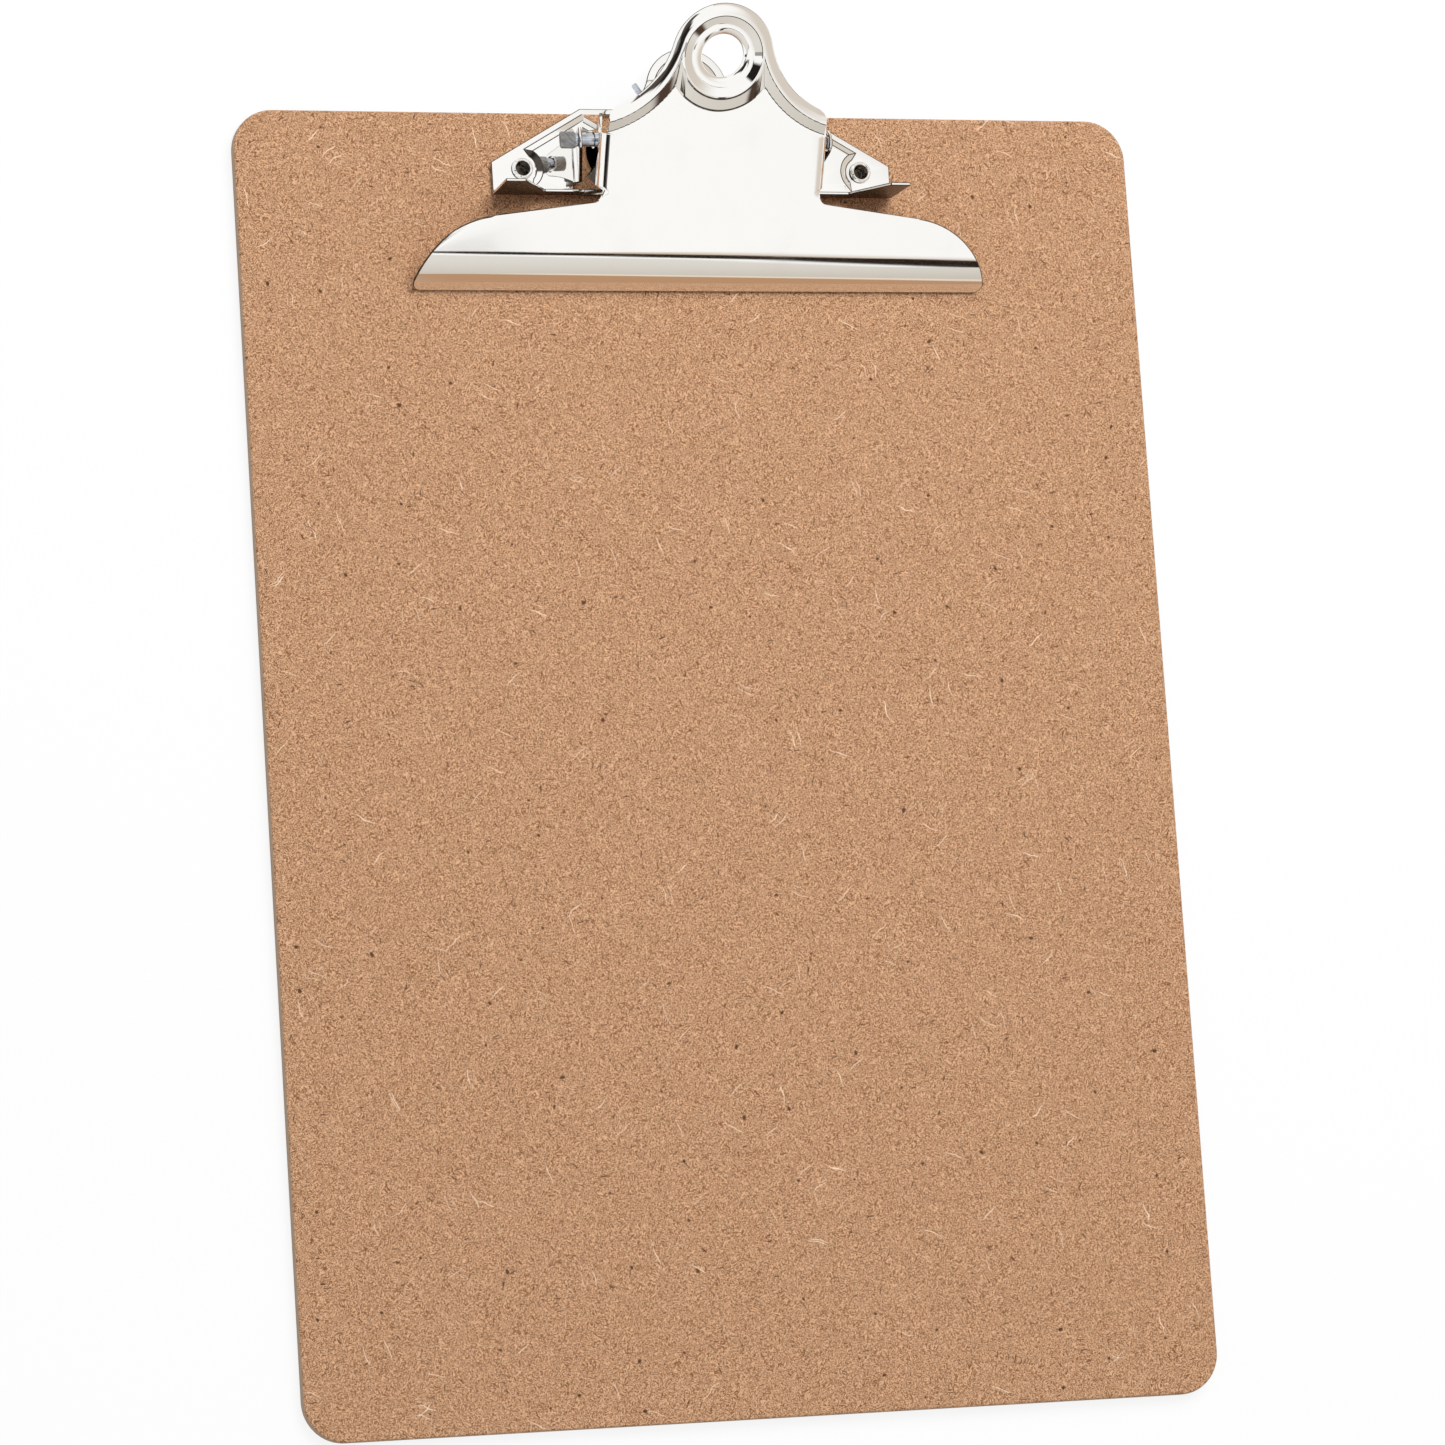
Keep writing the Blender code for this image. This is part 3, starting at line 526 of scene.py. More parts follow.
# %% Board
BOARD_SIZE = (0.2286, 0.3175, 0.0032)
BOARD_CORNER = 0.010
BOARD_EDGE = 0.0006
BOARD_CREASE = 30.0
RIM_TURN = 0.9
RIVET_PLACES = {"left": (-0.0433, 0.1445), "right": (0.0433, 0.1445)}
HOLE_RADIUS = 0.0024
SINK_RADIUS = 0.0045
SINK_DEPTH = 0.0014
BELOW_BOARD = -0.002
ABOVE_BOARD = 0.006
ROUND_SIDES = 48


def drill(piece, place, radius, low, high):
    """Cut a round hole from one height to another."""
    bpy.ops.object.select_all(action="DESELECT")
    middle = (*place, (low + high) / 2)
    bpy.ops.mesh.primitive_cylinder_add(
        vertices=ROUND_SIDES, radius=radius, depth=high - low, location=middle)
    drill_bit = take_new("drill_bit")
    apply_modifier(piece, "BOOLEAN", operation="DIFFERENCE", object=drill_bit)
    bpy.data.objects.remove(drill_bit)


def is_upright(edge):
    """True on the four edges at the panel's corners."""
    return abs(edge.verts[0].co.z - edge.verts[1].co.z) > BOARD_SIZE[2] / 2


def is_rim(edge):
    """True on the edges between a face of the panel and its sides."""
    first, second = edge.link_faces
    return abs(first.normal.z - second.normal.z) > RIM_TURN


def make_board():
    bpy.ops.object.select_all(action="DESELECT")
    middle = (0, 0, BOARD_SIZE[2] / 2)
    bpy.ops.mesh.primitive_cube_add(size=1.0, location=middle, scale=BOARD_SIZE)
    board = take_new("fibre_board")
    edit(board, "EDGE")
    choose(board, "EDGE", is_upright)
    bpy.ops.mesh.bevel(offset=BOARD_CORNER, segments=16, affect="EDGES")
    choose(board, "EDGE", is_rim)
    bpy.ops.mesh.bevel(offset=BOARD_EDGE, segments=4, affect="EDGES")
    bpy.ops.object.mode_set(mode="OBJECT")
    for place in RIVET_PLACES.values():
        drill(board, place, HOLE_RADIUS, BELOW_BOARD, ABOVE_BOARD)
        drill(board, place, SINK_RADIUS, BELOW_BOARD, SINK_DEPTH)
    smooth(board, BOARD_CREASE)
    return board


board = make_board()
finish_with(board, hardboard)
dress(board, "board", "base")

# %% [markdown]
# Both plates of the clip are pressed from 0.8 mm sheet, and their solids already have the right
# folds and beads. A mirror shows every flaw of shading, so each is copied, its loose triangles are
# joined, its cut edge is rounded as a press leaves it, and its normals are weighed by area: the flat
# field then mirrors like a flat, and only the folds bend the picture.

# %% Pressed plates
SHEET = 0.0008
CUT_EDGE = 0.00024
CUT_ANGLE = math.radians(45)
QUAD_FLATNESS = math.radians(20)
QUAD_SHAPE = math.radians(60)
PLATE_CREASE = 38.0
# Slot of the painted-shade nickel, which draws dark lines and shaded faces.
PAINTED_SHADE_SLOT = 1


def joined_copy(node, name):
    """A copy of a solid with its loose triangles joined, in bright nickel and painted-shade nickel."""
    piece = bpy.data.objects.new(name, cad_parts[node].data.copy())
    bpy.context.scene.collection.objects.link(piece)
    finish_with(piece, nickel, shade_nickel)
    edit(piece, "EDGE")
    bpy.ops.mesh.customdata_custom_splitnormals_clear()
    bpy.ops.mesh.select_all(action="SELECT")
    bpy.ops.mesh.remove_doubles(threshold=WELD)
    bpy.ops.mesh.tris_convert_to_quads(face_threshold=QUAD_FLATNESS, shape_threshold=QUAD_SHAPE)
    bpy.ops.object.mode_set(mode="OBJECT")
    return piece


def is_cut(edge):
    """True on a sharp edge."""
    return len(edge.link_faces) == 2 and edge.calc_face_angle(0.0) > CUT_ANGLE


def round_cuts(piece, test, clamp):
    """Round the cut edges over, and give the rounds painted shade."""
    edit(piece, "EDGE")
    rounded = choose(piece, "EDGE", test)
    # The rounds get painted shade, the dark nickel.
    bpy.ops.mesh.bevel(offset=CUT_EDGE, segments=2, affect="EDGES", clamp_overlap=clamp, material=PAINTED_SHADE_SLOT)
    bpy.ops.object.mode_set(mode="OBJECT")
    return rounded


jaw = joined_copy("jaw_plate", "jaw_pressing")
base = joined_copy("base_plate", "base_pressing")
print("plates joined:", len(jaw.data.polygons), "and", len(base.data.polygons), "faces")

# %% [markdown]
# The jaw plate's bead is drawn up along its lever and round its eye. Sheet springs back a little
# when it leaves the press, so the bead ends up lower and the eye's funnel shallower than the tool.
# That small change decides what the slopes mirror: the grey front instead of the board. The jaw is
# tilted, so a point's place is first taken along the plate, and its height off the plate's face.

# %% Spring-back of the jaw plate
PIN_PLACE = Vector((0, 0.1485, 0.0172))
JAW_TILT = math.radians(26.6)
ALONG_JAW = Vector((0, math.cos(JAW_TILT), math.sin(JAW_TILT)))
OFF_JAW = Vector((0, -math.sin(JAW_TILT), math.cos(JAW_TILT)))
JAW_RISE = 0.0068
BEAD_LEFT = 0.80
EYE_MIDDLE = Vector((0, 0.0225))
EYE_CREST = 0.0101
EYE_FLOOR = 0.0076
EYE_LIFT = 0.00050
LOOKS_DOWN = -0.5


def on_jaw(point):
    """Place of a point on the tilted jaw plate: across and along it, and height over its face."""
    away = point - PIN_PLACE
    return Vector((away.x, away.dot(ALONG_JAW))), away.dot(OFF_JAW) - JAW_RISE


def sprung_height(place, height):
    """Height that a point of the bead or of the eye keeps after the sheet springs back."""
    from_eye = (place - EYE_MIDDLE).length
    into_eye = (EYE_CREST - from_eye) / (EYE_CREST - EYE_FLOOR)
    if into_eye < 0 and height < 0:
        return height
    return height * BEAD_LEFT + EYE_LIFT * min(max(into_eye, 0.0), 1.0)


def spring_back(piece):
    """Lower the bead on both faces of the sheet, and say how many points moved."""
    under = set()
    for face in piece.data.polygons:
        if face.normal.dot(OFF_JAW) < LOOKS_DOWN:
            under.update(face.vertices)
    moved = 0
    for vert in piece.data.vertices:
        place, height = on_jaw(vert.co)
        top = height + SHEET if vert.index in under else height
        change = sprung_height(place, top) - top
        vert.co += OFF_JAW * change
        moved += abs(change) > WELD
    return moved


print("jaw plate:", spring_back(jaw), "points lowered")

# %% [markdown]
# The cut edges of the jaw plate are rounded, except by the cheeks, where the folds leave no room. The
# rounds, the tight folds at the foot and crest of each slope of the bead and the cut wall of the
# sheet get the dark nickel, as painted dark reflections. They draw the clip's dark lines, which a
# plain mirror would lose.

# %% Jaw plate
FIELD_MIDDLE = Vector((0, 0.004))
FIELD_LEVEL = -0.0001
EYE_WALL = EYE_FLOOR * 0.97
EYE_SLOPE = EYE_CREST * 0.9
FOLD_SLOPES = (5.0, 15.0)
CHEEK_OUTSIDE = 0.0305
CHEEK_CLEAR = 0.0312
RIM_REAR = 0.0112
LEVER_FROM = 0.0122
LIP_FROM = -0.0140
WALL_LEAN = 0.35
WALL_REARWARD = 0.1


def is_bead_fold(face):
    """True in the tight folds of a slope that looks towards the field or into the eye."""
    place, height = on_jaw(face.calc_center_median())
    from_eye = (place - EYE_MIDDLE).length
    if height < FIELD_LEVEL or from_eye < EYE_WALL:
        return False
    inwards = FIELD_MIDDLE - place
    if from_eye < EYE_CREST:
        inwards = EYE_MIDDLE - place
        if place.y < EYE_MIDDLE.y or from_eye < EYE_SLOPE:
            return False
    looks = Vector((face.normal.x, face.normal.dot(ALONG_JAW)))
    slope = math.degrees(math.acos(min(1.0, face.normal.dot(OFF_JAW))))
    return looks.dot(inwards) > 0 and FOLD_SLOPES[0] < slope < FOLD_SLOPES[1]


def is_clear(place):
    """True away from the tight corners of the cheeks."""
    return abs(place.x) > CHEEK_CLEAR or place.y > LEVER_FROM or place.y < LIP_FROM


def is_open_cut(edge):
    """True on the cut edges of the lever, the eye and the jaw."""
    return all(is_clear(on_jaw(vert.co)[0]) for vert in edge.verts) and is_cut(edge)


def is_cut_wall(face):
    """True on the cut thickness of the sheet round the lever and over the jaw."""
    place = on_jaw(face.calc_center_median())[0]
    past_cheeks = abs(place.x) > CHEEK_OUTSIDE or place.y > RIM_REAR
    past_eye = (place - EYE_MIDDLE).length > EYE_CREST
    stands = abs(face.normal.dot(OFF_JAW)) < WALL_LEAN
    return past_cheeks and past_eye and stands and face.normal.dot(ALONG_JAW) > WALL_REARWARD


cut_edges = round_cuts(jaw, is_open_cut, clamp=False)
# Painted dark reflections on the bead's tight folds and on the cut wall.
fold_faces = paint(jaw, PAINTED_SHADE_SLOT, is_bead_fold)
wall_faces = paint(jaw, PAINTED_SHADE_SLOT, is_cut_wall)
smooth(jaw, PLATE_CREASE)
print("jaw plate:", cut_edges, "cut edges,", fold_faces, "faces in folds,", wall_faces, "on the cut")
dress(jaw, "jaw_plate", "jaw")

# %% [markdown]
# The base plate lies under the jaw plate. A shallow raised pad stiffens each wing, and the wing's
# front edge stands up as a paper stop, whose face looks at the shaded board. The cut edges, the pad's
# folds and the stops get the dark nickel as painted shade, which draws them as dark lines in all that
# brightness. The right ear stands straighter than the left one, close to the cheek that hides it.

# %% Base plate
FOLD_LINE = 0.00013
PAD_FOLD_ANGLE = math.radians(18)
LOOKS_UP = 0.7
STOP_LOOKS_FRONT = -0.7
STOP_FOOT = 0.0046
EAR_LOW = Vector((0.0280, 0.1430, 0.0060))
EAR_HIGH = Vector((0.0350, 0.1540, 0.0220))
EAR_STRAIGHTENED = 0.16


def straighten_ear(piece):
    """Stand the right ear up, closer to the cheek beside it."""
    moved = 0
    for vert in piece.data.vertices:
        if all(low < value < high for low, value, high in zip(EAR_LOW, vert.co, EAR_HIGH)):
            vert.co.x -= (vert.co.z - EAR_LOW.z) * EAR_STRAIGHTENED
            moved += 1
    return moved


def is_top_fold(edge):
    """True on the folds of a raised pad: a slight turn between two faces that look up."""
    if any(face.material_index == PAINTED_SHADE_SLOT for vert in edge.verts for face in vert.link_faces):
        return False
    up = min(face.normal.z for face in edge.link_faces)
    return up > LOOKS_UP and PAD_FOLD_ANGLE < edge.calc_face_angle(0.0) < CUT_ANGLE


def is_stop(face):
    """True on the front of a paper stop."""
    return face.normal.y < STOP_LOOKS_FRONT and face.calc_center_median().z > STOP_FOOT


ear_points = straighten_ear(base)
round_cuts(base, is_cut, clamp=True)
edit(base, "EDGE")
folds = choose(base, "EDGE", is_top_fold)
# The pad's folds get painted shade, as thin dark lines.
bpy.ops.mesh.bevel(offset=FOLD_LINE, segments=1, affect="EDGES", clamp_overlap=False, material=PAINTED_SHADE_SLOT)
# The fronts of the stops get painted shade, as dark as the shaded board that they mirror.
stops = paint(base, PAINTED_SHADE_SLOT, is_stop)
smooth(base, PLATE_CREASE)
print("base plate:", ear_points, "ear points,", folds, "fold edges,", stops, "faces on the stops")
dress(base, "base_plate", "base")

# %% [markdown]
# The pivot pin is a straight wire pin. Its left end is struck flat into a spade that keeps it from
# sliding out, and its right end is upset, which thickens it. It starts as a cylinder, and its ends
# are drawn out step by step, each step pressed to its width and thickness.

# %% Pivot pin
PIN_RADIUS = 0.0016
PIN_LEFT = 0.0330
PIN_RIGHT = 0.0311
SPADE_STEPS = [
    (0.0004, 1.14, 0.80),
    (0.0004, 1.13, 0.72),
    (0.0005, 1.02, 0.98),
    (0.0026, 1.00, 1.00),
    (0.0003, 0.88, 0.72),
]
UPSET_STEPS = [
    (0.00025, 1.30, 1.30),
    (0.00025, 0.80, 0.80),
]
ROUND_CREASE = 40.0


def draw_out(piece, side, steps):
    """Extrude an end face step by step, pressing each step to its share of width and thickness."""
    reach = max(side * vert.co.x for vert in piece.data.vertices)
    edit(piece, "FACE")
    choose(piece, "FACE", lambda face: side * face.calc_center_median().x > reach - WELD)
    for length, width, thick in steps:
        bpy.ops.mesh.extrude_region_move(TRANSFORM_OT_translate={"value": (side * length, 0, 0)})
        bpy.ops.transform.resize(value=(1, width, thick), center_override=PIN_PLACE)
    bpy.ops.object.mode_set(mode="OBJECT")


def make_pin():
    bpy.ops.object.select_all(action="DESELECT")
    middle = PIN_PLACE + Vector(((PIN_RIGHT - PIN_LEFT) / 2, 0, 0))
    bpy.ops.mesh.primitive_cylinder_add(
        vertices=ROUND_SIDES, radius=PIN_RADIUS, depth=PIN_LEFT + PIN_RIGHT,
        location=middle, rotation=(0, math.pi / 2, 0))
    pin = take_new("wire_pin")
    draw_out(pin, -1, SPADE_STEPS)
    draw_out(pin, 1, UPSET_STEPS)
    smooth(pin, ROUND_CREASE)
    return pin


pin = make_pin()
finish_with(pin, zinc)
dress(pin, "pivot_pin", "base")

# %% [markdown]
# The torsion spring is one wire: a leg that lies on the base plate, a coil round the pin and a leg
# that pushes up under the jaw plate. A curve with a round bevel is the natural way to draw a wire,
# so the middle of the wire comes first. Each leg is straight and touches the coil.

# %% Path of the spring
COIL_RADIUS = 0.0034
COIL_PITCH = 0.00205
COIL_TURNS = 6
TURN_POINTS = 28
LOWER_REST = Vector((-0.012334, 0.014639, -0.01185))
LOWER_OVERHANG = 0.0033
UPPER_TIP = Vector((0, 0.010302, 0.010695))


def touch_angle(leg, side):
    """Angle on the coil where a straight leg from an outside point touches it."""
    return math.atan2(leg.z, leg.y) + side * math.acos(COIL_RADIUS / math.hypot(leg.y, leg.z))


def coil_point(across, angle):
    """A point on the coil, from the pin."""
    return Vector((across, COIL_RADIUS * math.cos(angle), COIL_RADIUS * math.sin(angle)))


def spring_path():
    """Middle of the wire, from the pin: lower leg, coil and upper leg."""
    first = touch_angle(LOWER_REST, -1) % math.tau
    turned = first - touch_angle(UPPER_TIP, 1) + math.tau * COIL_TURNS
    length = COIL_PITCH * turned / math.tau
    steps = round(turned / math.tau * TURN_POINTS)
    shares = [step / steps for step in range(steps + 1)]
    coil = [coil_point(length * (share - 0.5), first - turned * share) for share in shares]
    onward = (LOWER_REST - coil[0]).normalized()
    lower_tip = LOWER_REST + onward * LOWER_OVERHANG
    upper_tip = Vector((length / 2, UPPER_TIP.y, UPPER_TIP.z))
    return [lower_tip, *coil, upper_tip]


wire_path = spring_path()
print("spring:", len(wire_path), "points along the wire")

# %% [markdown]
# The curve gets the wire's thickness and is then made a mesh.

# %% Torsion spring
WIRE_RADIUS = 0.00075
WIRE_ROUNDNESS = 4


def draw_wire(path):
    """A curve with a round bevel through the points of a path, made a mesh."""
    bpy.ops.object.select_all(action="DESELECT")
    bpy.ops.curve.primitive_nurbs_path_add(location=(0, 0, 0))
    bpy.context.object.name = "coil_spring"
    curve = bpy.context.object.data
    curve.splines.clear()
    spline = curve.splines.new("POLY")
    spline.points.add(len(path) - 1)
    for point, place in zip(spline.points, path):
        point.co = (*(place + PIN_PLACE), 1)
    curve.bevel_depth = WIRE_RADIUS
    curve.bevel_resolution = WIRE_ROUNDNESS
    curve.use_fill_caps = True
    bpy.ops.object.convert(target="MESH")
    return bpy.context.object


def make_spring():
    spring = draw_wire(wire_path)
    edit(spring, "FACE")
    merge_and_close()
    smooth(spring, ROUND_CREASE)
    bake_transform(spring)
    return spring


spring = make_spring()
finish_with(spring, zinc)
dress(spring, "torsion_spring", None)

# %% [markdown]
# Two tubular rivets hold the base plate. Each has a flat head sunk in the board's back and a thin
# tube whose front end is rolled outwards over the plate. A rivet is round, so its half section is
# drawn point by point and spun about its axis.

# %% Rivet before it is set
RIVET_SHANK = 0.0021
RIVET_BORE = 0.00165
RIVET_FLOOR = 0.0014
FLOOR_CORNER = 0.0003
RIVET_ROLL = 0.00265
RIVET_SEAT = 0.0046
ROLL_HEIGHT = 0.0009
ROLL_STEPS = 12
RIVET_HEAD = 0.0042
HEAD_TOP = 0.0011
HEAD_SIDE = 0.0007
HEAD_LOW = 0.0003
HEAD_CORNER = [(0.0003, 0.0001), (0.0008, 0.0)]
START_SQUARE = 0.001


def rivet_outline():
    """Half section of a rivet, from the bore's floor over the roll and down to the head."""
    mid = (RIVET_BORE + RIVET_ROLL) / 2
    half = (RIVET_ROLL - RIVET_BORE) / 2
    section = [(0.0, RIVET_FLOOR), (RIVET_BORE - FLOOR_CORNER, RIVET_FLOOR)]
    section.append((RIVET_BORE, RIVET_FLOOR + FLOOR_CORNER))
    for step in range(ROLL_STEPS + 1):
        angle = math.pi * (1 - step / ROLL_STEPS)
        section.append((mid + half * math.cos(angle), RIVET_SEAT + ROLL_HEIGHT * math.sin(angle)))
    section += [(RIVET_SHANK, RIVET_SEAT), (RIVET_SHANK, HEAD_TOP)]
    section += [(RIVET_HEAD, HEAD_TOP), (RIVET_HEAD, HEAD_SIDE)]
    section += [(RIVET_HEAD - inward, HEAD_LOW + up) for inward, up in HEAD_CORNER]
    section.append((0.0, HEAD_LOW))
    return section


def make_rivet():
    """One rivet at the origin, spun from its half section."""
    bpy.ops.object.select_all(action="DESELECT")
    bpy.ops.mesh.primitive_plane_add(size=START_SQUARE)
    rivet = take_new("rivet")
    edit(rivet, "VERT")
    bpy.ops.mesh.select_all(action="SELECT")
    bpy.ops.mesh.merge(type="CENTER")
    section = rivet_outline()
    bpy.ops.transform.translate(value=(section[0][0], 0, section[0][1]))
    for (x, z), (next_x, next_z) in zip(section, section[1:]):
        move = (next_x - x, 0, next_z - z)
        bpy.ops.mesh.extrude_vertices_move(TRANSFORM_OT_translate={"value": move})
    bpy.ops.mesh.select_all(action="SELECT")
    bpy.ops.mesh.spin(steps=ROUND_SIDES, angle=math.tau, center=(0, 0, 0), axis=(0, 0, 1))
    merge_and_close()
    finish_with(rivet, nickel, shade_nickel)
    return rivet


rivet = make_rivet()
print("rivet:", triangles(rivet), "triangles before it is set")

# %% [markdown]
# Rolling splits the rim in a few places, so thin wedges cut splits across the roll. The bore gets
# painted shade, the dark nickel. The rivet is finished once and then copied to its two places.

# %% Rivets
SPLIT_TURNS = (8, 61, 137, 199, 252, 318)
SPLIT_SIZE = (0.0012, 0.00022, 0.0009)
SPLIT_MIDDLE = RIVET_SEAT + 0.0007
BORE_SHADE_RADIUS = RIVET_BORE * 1.02
BORE_SHADE_TOP = RIVET_FLOOR + 0.0005


def in_bore(face):
    """True for the faces of the bore's floor and of the wall just above it."""
    middle = face.calc_center_median()
    return middle.xy.length < BORE_SHADE_RADIUS and HEAD_TOP < middle.z < BORE_SHADE_TOP


def split_roll(rivet, turn):
    """Cut one narrow split across the roll."""
    angle = math.radians(turn)
    middle = (RIVET_ROLL * math.cos(angle), RIVET_ROLL * math.sin(angle), SPLIT_MIDDLE)
    bpy.ops.object.select_all(action="DESELECT")
    bpy.ops.mesh.primitive_cube_add(
        size=1.0, location=middle, rotation=(0, 0, angle), scale=SPLIT_SIZE)
    wedge = take_new("split_wedge")
    apply_modifier(rivet, "BOOLEAN", operation="DIFFERENCE", object=wedge)
    bpy.data.objects.remove(wedge)


def copy_to(rivet, side, place):
    """A copy of the rivet at one of its places."""
    pick(rivet)
    bpy.ops.object.duplicate()
    bpy.ops.transform.translate(value=(*place, 0))
    bpy.ops.object.transform_apply(location=True, rotation=True, scale=True)
    bpy.context.object.name = "tube_rivet_" + side
    return bpy.context.object


for turn in SPLIT_TURNS:
    split_roll(rivet, turn)
# The bore's floor and the wall just above it get painted shade.
paint(rivet, PAINTED_SHADE_SLOT, in_bore)
smooth(rivet, ROUND_CREASE)
for side, place in RIVET_PLACES.items():
    dress(copy_to(rivet, side, place), "rivet_" + side, "base")
bpy.data.objects.remove(rivet)

# %% [markdown]
# The clipboard lies on a pale floor. The floor looks white to the camera and still takes a soft
# shadow, so most of its light is its own and a small share is what falls on it. In a mirror it is
# white too, apart from a tan table in front of the board.

# %% Floor
FLOOR_SIZE = 6.0
FLOOR_PLACE = (0, 0, -0.0004)
FLOOR_WHITE = (1.0, 1.0, 1.0, 1)
FLOOR_PAPER = (0.9, 0.9, 0.9, 1)
FLOOR_GLOW = 0.86
TABLE_TAN = (0.50, 0.29, 0.165, 1)
TABLE_BEFORE = (-0.165, -0.155)


def start_tree(owner):
    """Empty node tree of a material or of the world, as a wire to add nodes with."""
    owner.use_nodes = True
    owner.node_tree.nodes.clear()
    return Wire(owner.node_tree)


def is_ray(wire, kind):
    """1 for rays of one kind: Camera or Glossy."""
    return wire.node("LightPath", {}, {}, output=f"Is {kind} Ray")


def floor_finish():
    material = bpy.data.materials.new("floor_white")
    wire = start_tree(material)
    camera = is_ray(wire, "Camera")
    glossy = is_ray(wire, "Glossy")
    place = wire.node("TexCoord", {}, {}, output="Object")
    table = glossy * axis_of(place, "Y").below(*TABLE_BEFORE)
    colour = table.between(FLOOR_WHITE, TABLE_TAN)
    glow = wire.node("Emission", {}, {"Color": colour, "Strength": 1.0})
    paper = wire.node("BsdfDiffuse", {}, {"Color": FLOOR_PAPER})
    seen = camera.at_least(glossy) * FLOOR_GLOW
    both = wire.node("MixShader", {}, {0: seen, 1: paper, 2: glow})
    wire.node("OutputMaterial", {}, {"Surface": both})
    return material


bpy.ops.object.select_all(action="DESELECT")
bpy.ops.mesh.primitive_plane_add(size=FLOOR_SIZE, location=FLOOR_PLACE)
floor = take_new("floor")
finish_with(floor, floor_finish())
print("floor:", FLOOR_SIZE, "m wide")

# %% [markdown]
# A mirror shows its surround, and bright nickel is mostly what it mirrors. So mirror rays alone see a
# studio: a white tent with a pale grey opening in front. The tent could be modelled, but a picture in
# the world's nodes casts no shadows and costs no faces. Every part of it is a band of two angles, in
# degrees: the turn from the front, to the right, and the rise over the horizon. The opening is wide
# low down and narrower higher up.

# %% Opening of the studio
OPENING_LOW = (0.60, 0.555, 0.495, 1)
OPENING_HIGH = (0.76, 0.73, 0.685, 1)
OPENING_SHADES = (2, 38)
OPENING_LEFT = (-35, -26)
WIDE_LEAN = 0.571
WIDE_RIGHT = (45, 50)
WIDE_TOP = (23, 27)
TALL_RIGHT = (23.8, 24.4)
TALL_TOP = (46.5, 48.0)
BAR_BROWN = (0.075, 0.045, 0.030, 1)
BROWN_BAND = (47.5, 57.0, 2.5)
BROWN_TOP = (26, 38)


def opening_seen(turn, rise, colour):
    """The opening in front, with a brown bar along its leaning right side."""
    slant = turn + rise * WIDE_LEAN
    wide = slant.below(*WIDE_RIGHT) * rise.below(*WIDE_TOP)
    tall = turn.below(*TALL_RIGHT) * rise.below(*TALL_TOP)
    inside = turn.above(*OPENING_LEFT) * wide.at_least(tall)
    shade = rise.above(*OPENING_SHADES).between(OPENING_LOW, OPENING_HIGH)
    brown = slant.within(*BROWN_BAND) * rise.below(*BROWN_TOP)
    return brown.between(inside.between(colour, shade), BAR_BROWN)


print("opening: from", OPENING_LEFT[0], "to", TALL_RIGHT[1], "degrees")

# %% [markdown]
# A dark post stands at the right of the opening's tall part, and gives the long dark line over the
# rolled jaw. The tent is shaded beside it, and a white gleam runs along its inner side. Low down comes
# the tan edge of a table, which the foot of the jaw mirrors.

# %% Post and table of the studio
TENT_WHITE = (1.0, 1.0, 1.0, 1)
POST_DARK = (0.022, 0.013, 0.008, 1)
POST_TURN = 24.3
POST_RISE = (26.0, 47.4, 0.4)
POST_LEANS_FROM = 43
POST_LEAN = 0.37
POST_HALF = 1.0
POST_FOOT = (28, 46)
POST_FOOT_WIDER = 0.55
GLEAM_BAND = (-2.2, -1.0, 0.4)
CREAM_SHADE = (0.60, 0.46, 0.33, 1)
SHADE_STARTS = (24.0, 24.4)
SHADE_ENDS = (24.4, 27.6)
SHADE_RISE = (26.0, 46.4, 0.7)
TABLE_EDGE = (0.85, 0.73, 0.60, 1)
TABLE_LEAN = 1.65
TABLE_TOP = (38.0, 38.8)
TABLE_EDGE_BAND = (38.4, 41.0, 0.5)
TABLE_TURNS = (14.8, 23.0, 0.5)
TABLE_CORNER_LEAN = 1.2
TABLE_CORNER = (-7.4, -6.6)
BAR_ENDS = (0.75, 1.2)


def bar(value, half):
    """1 along a line where a value is 0, as wide as the half width says."""
    return (value.size() / half).below(*BAR_ENDS)


def post_seen(turn, rise, colour):
    """The post, the shade on the tent beside it and the gleam along it."""
    shade = turn.below(*SHADE_ENDS) * turn.above(*SHADE_STARTS) * rise.within(*SHADE_RISE)
    colour = shade.between(colour, CREAM_SHADE)
    from_post = turn - POST_TURN + (rise - POST_LEANS_FROM).at_least(0.0) * POST_LEAN
    post_rise = rise.within(*POST_RISE)
    colour = (from_post.within(*GLEAM_BAND) * post_rise).between(colour, TENT_WHITE)
    half = POST_HALF + rise.below(*POST_FOOT) * POST_FOOT_WIDER
    return (bar(from_post, half) * post_rise).between(colour, POST_DARK)


def table_seen(turn, rise, colour):
    """The tan table with its paler edge."""
    table = rise + turn * TABLE_LEAN
    near = turn.within(*TABLE_TURNS) * (rise - turn * TABLE_CORNER_LEAN).below(*TABLE_CORNER)
    colour = (table.within(*TABLE_EDGE_BAND) * near).between(colour, TABLE_EDGE)
    return (table.below(*TABLE_TOP) * near).between(colour, TABLE_TAN)


print("post: at", POST_TURN, "degrees")

# %% [markdown]
# The tent hangs on a dark frame. One bar is arched over the opening and falls to the left, a thin one
# runs above it, and a broad beam is overhead on the left. They give the black streaks round the eye
# and along the lever's shoulders.

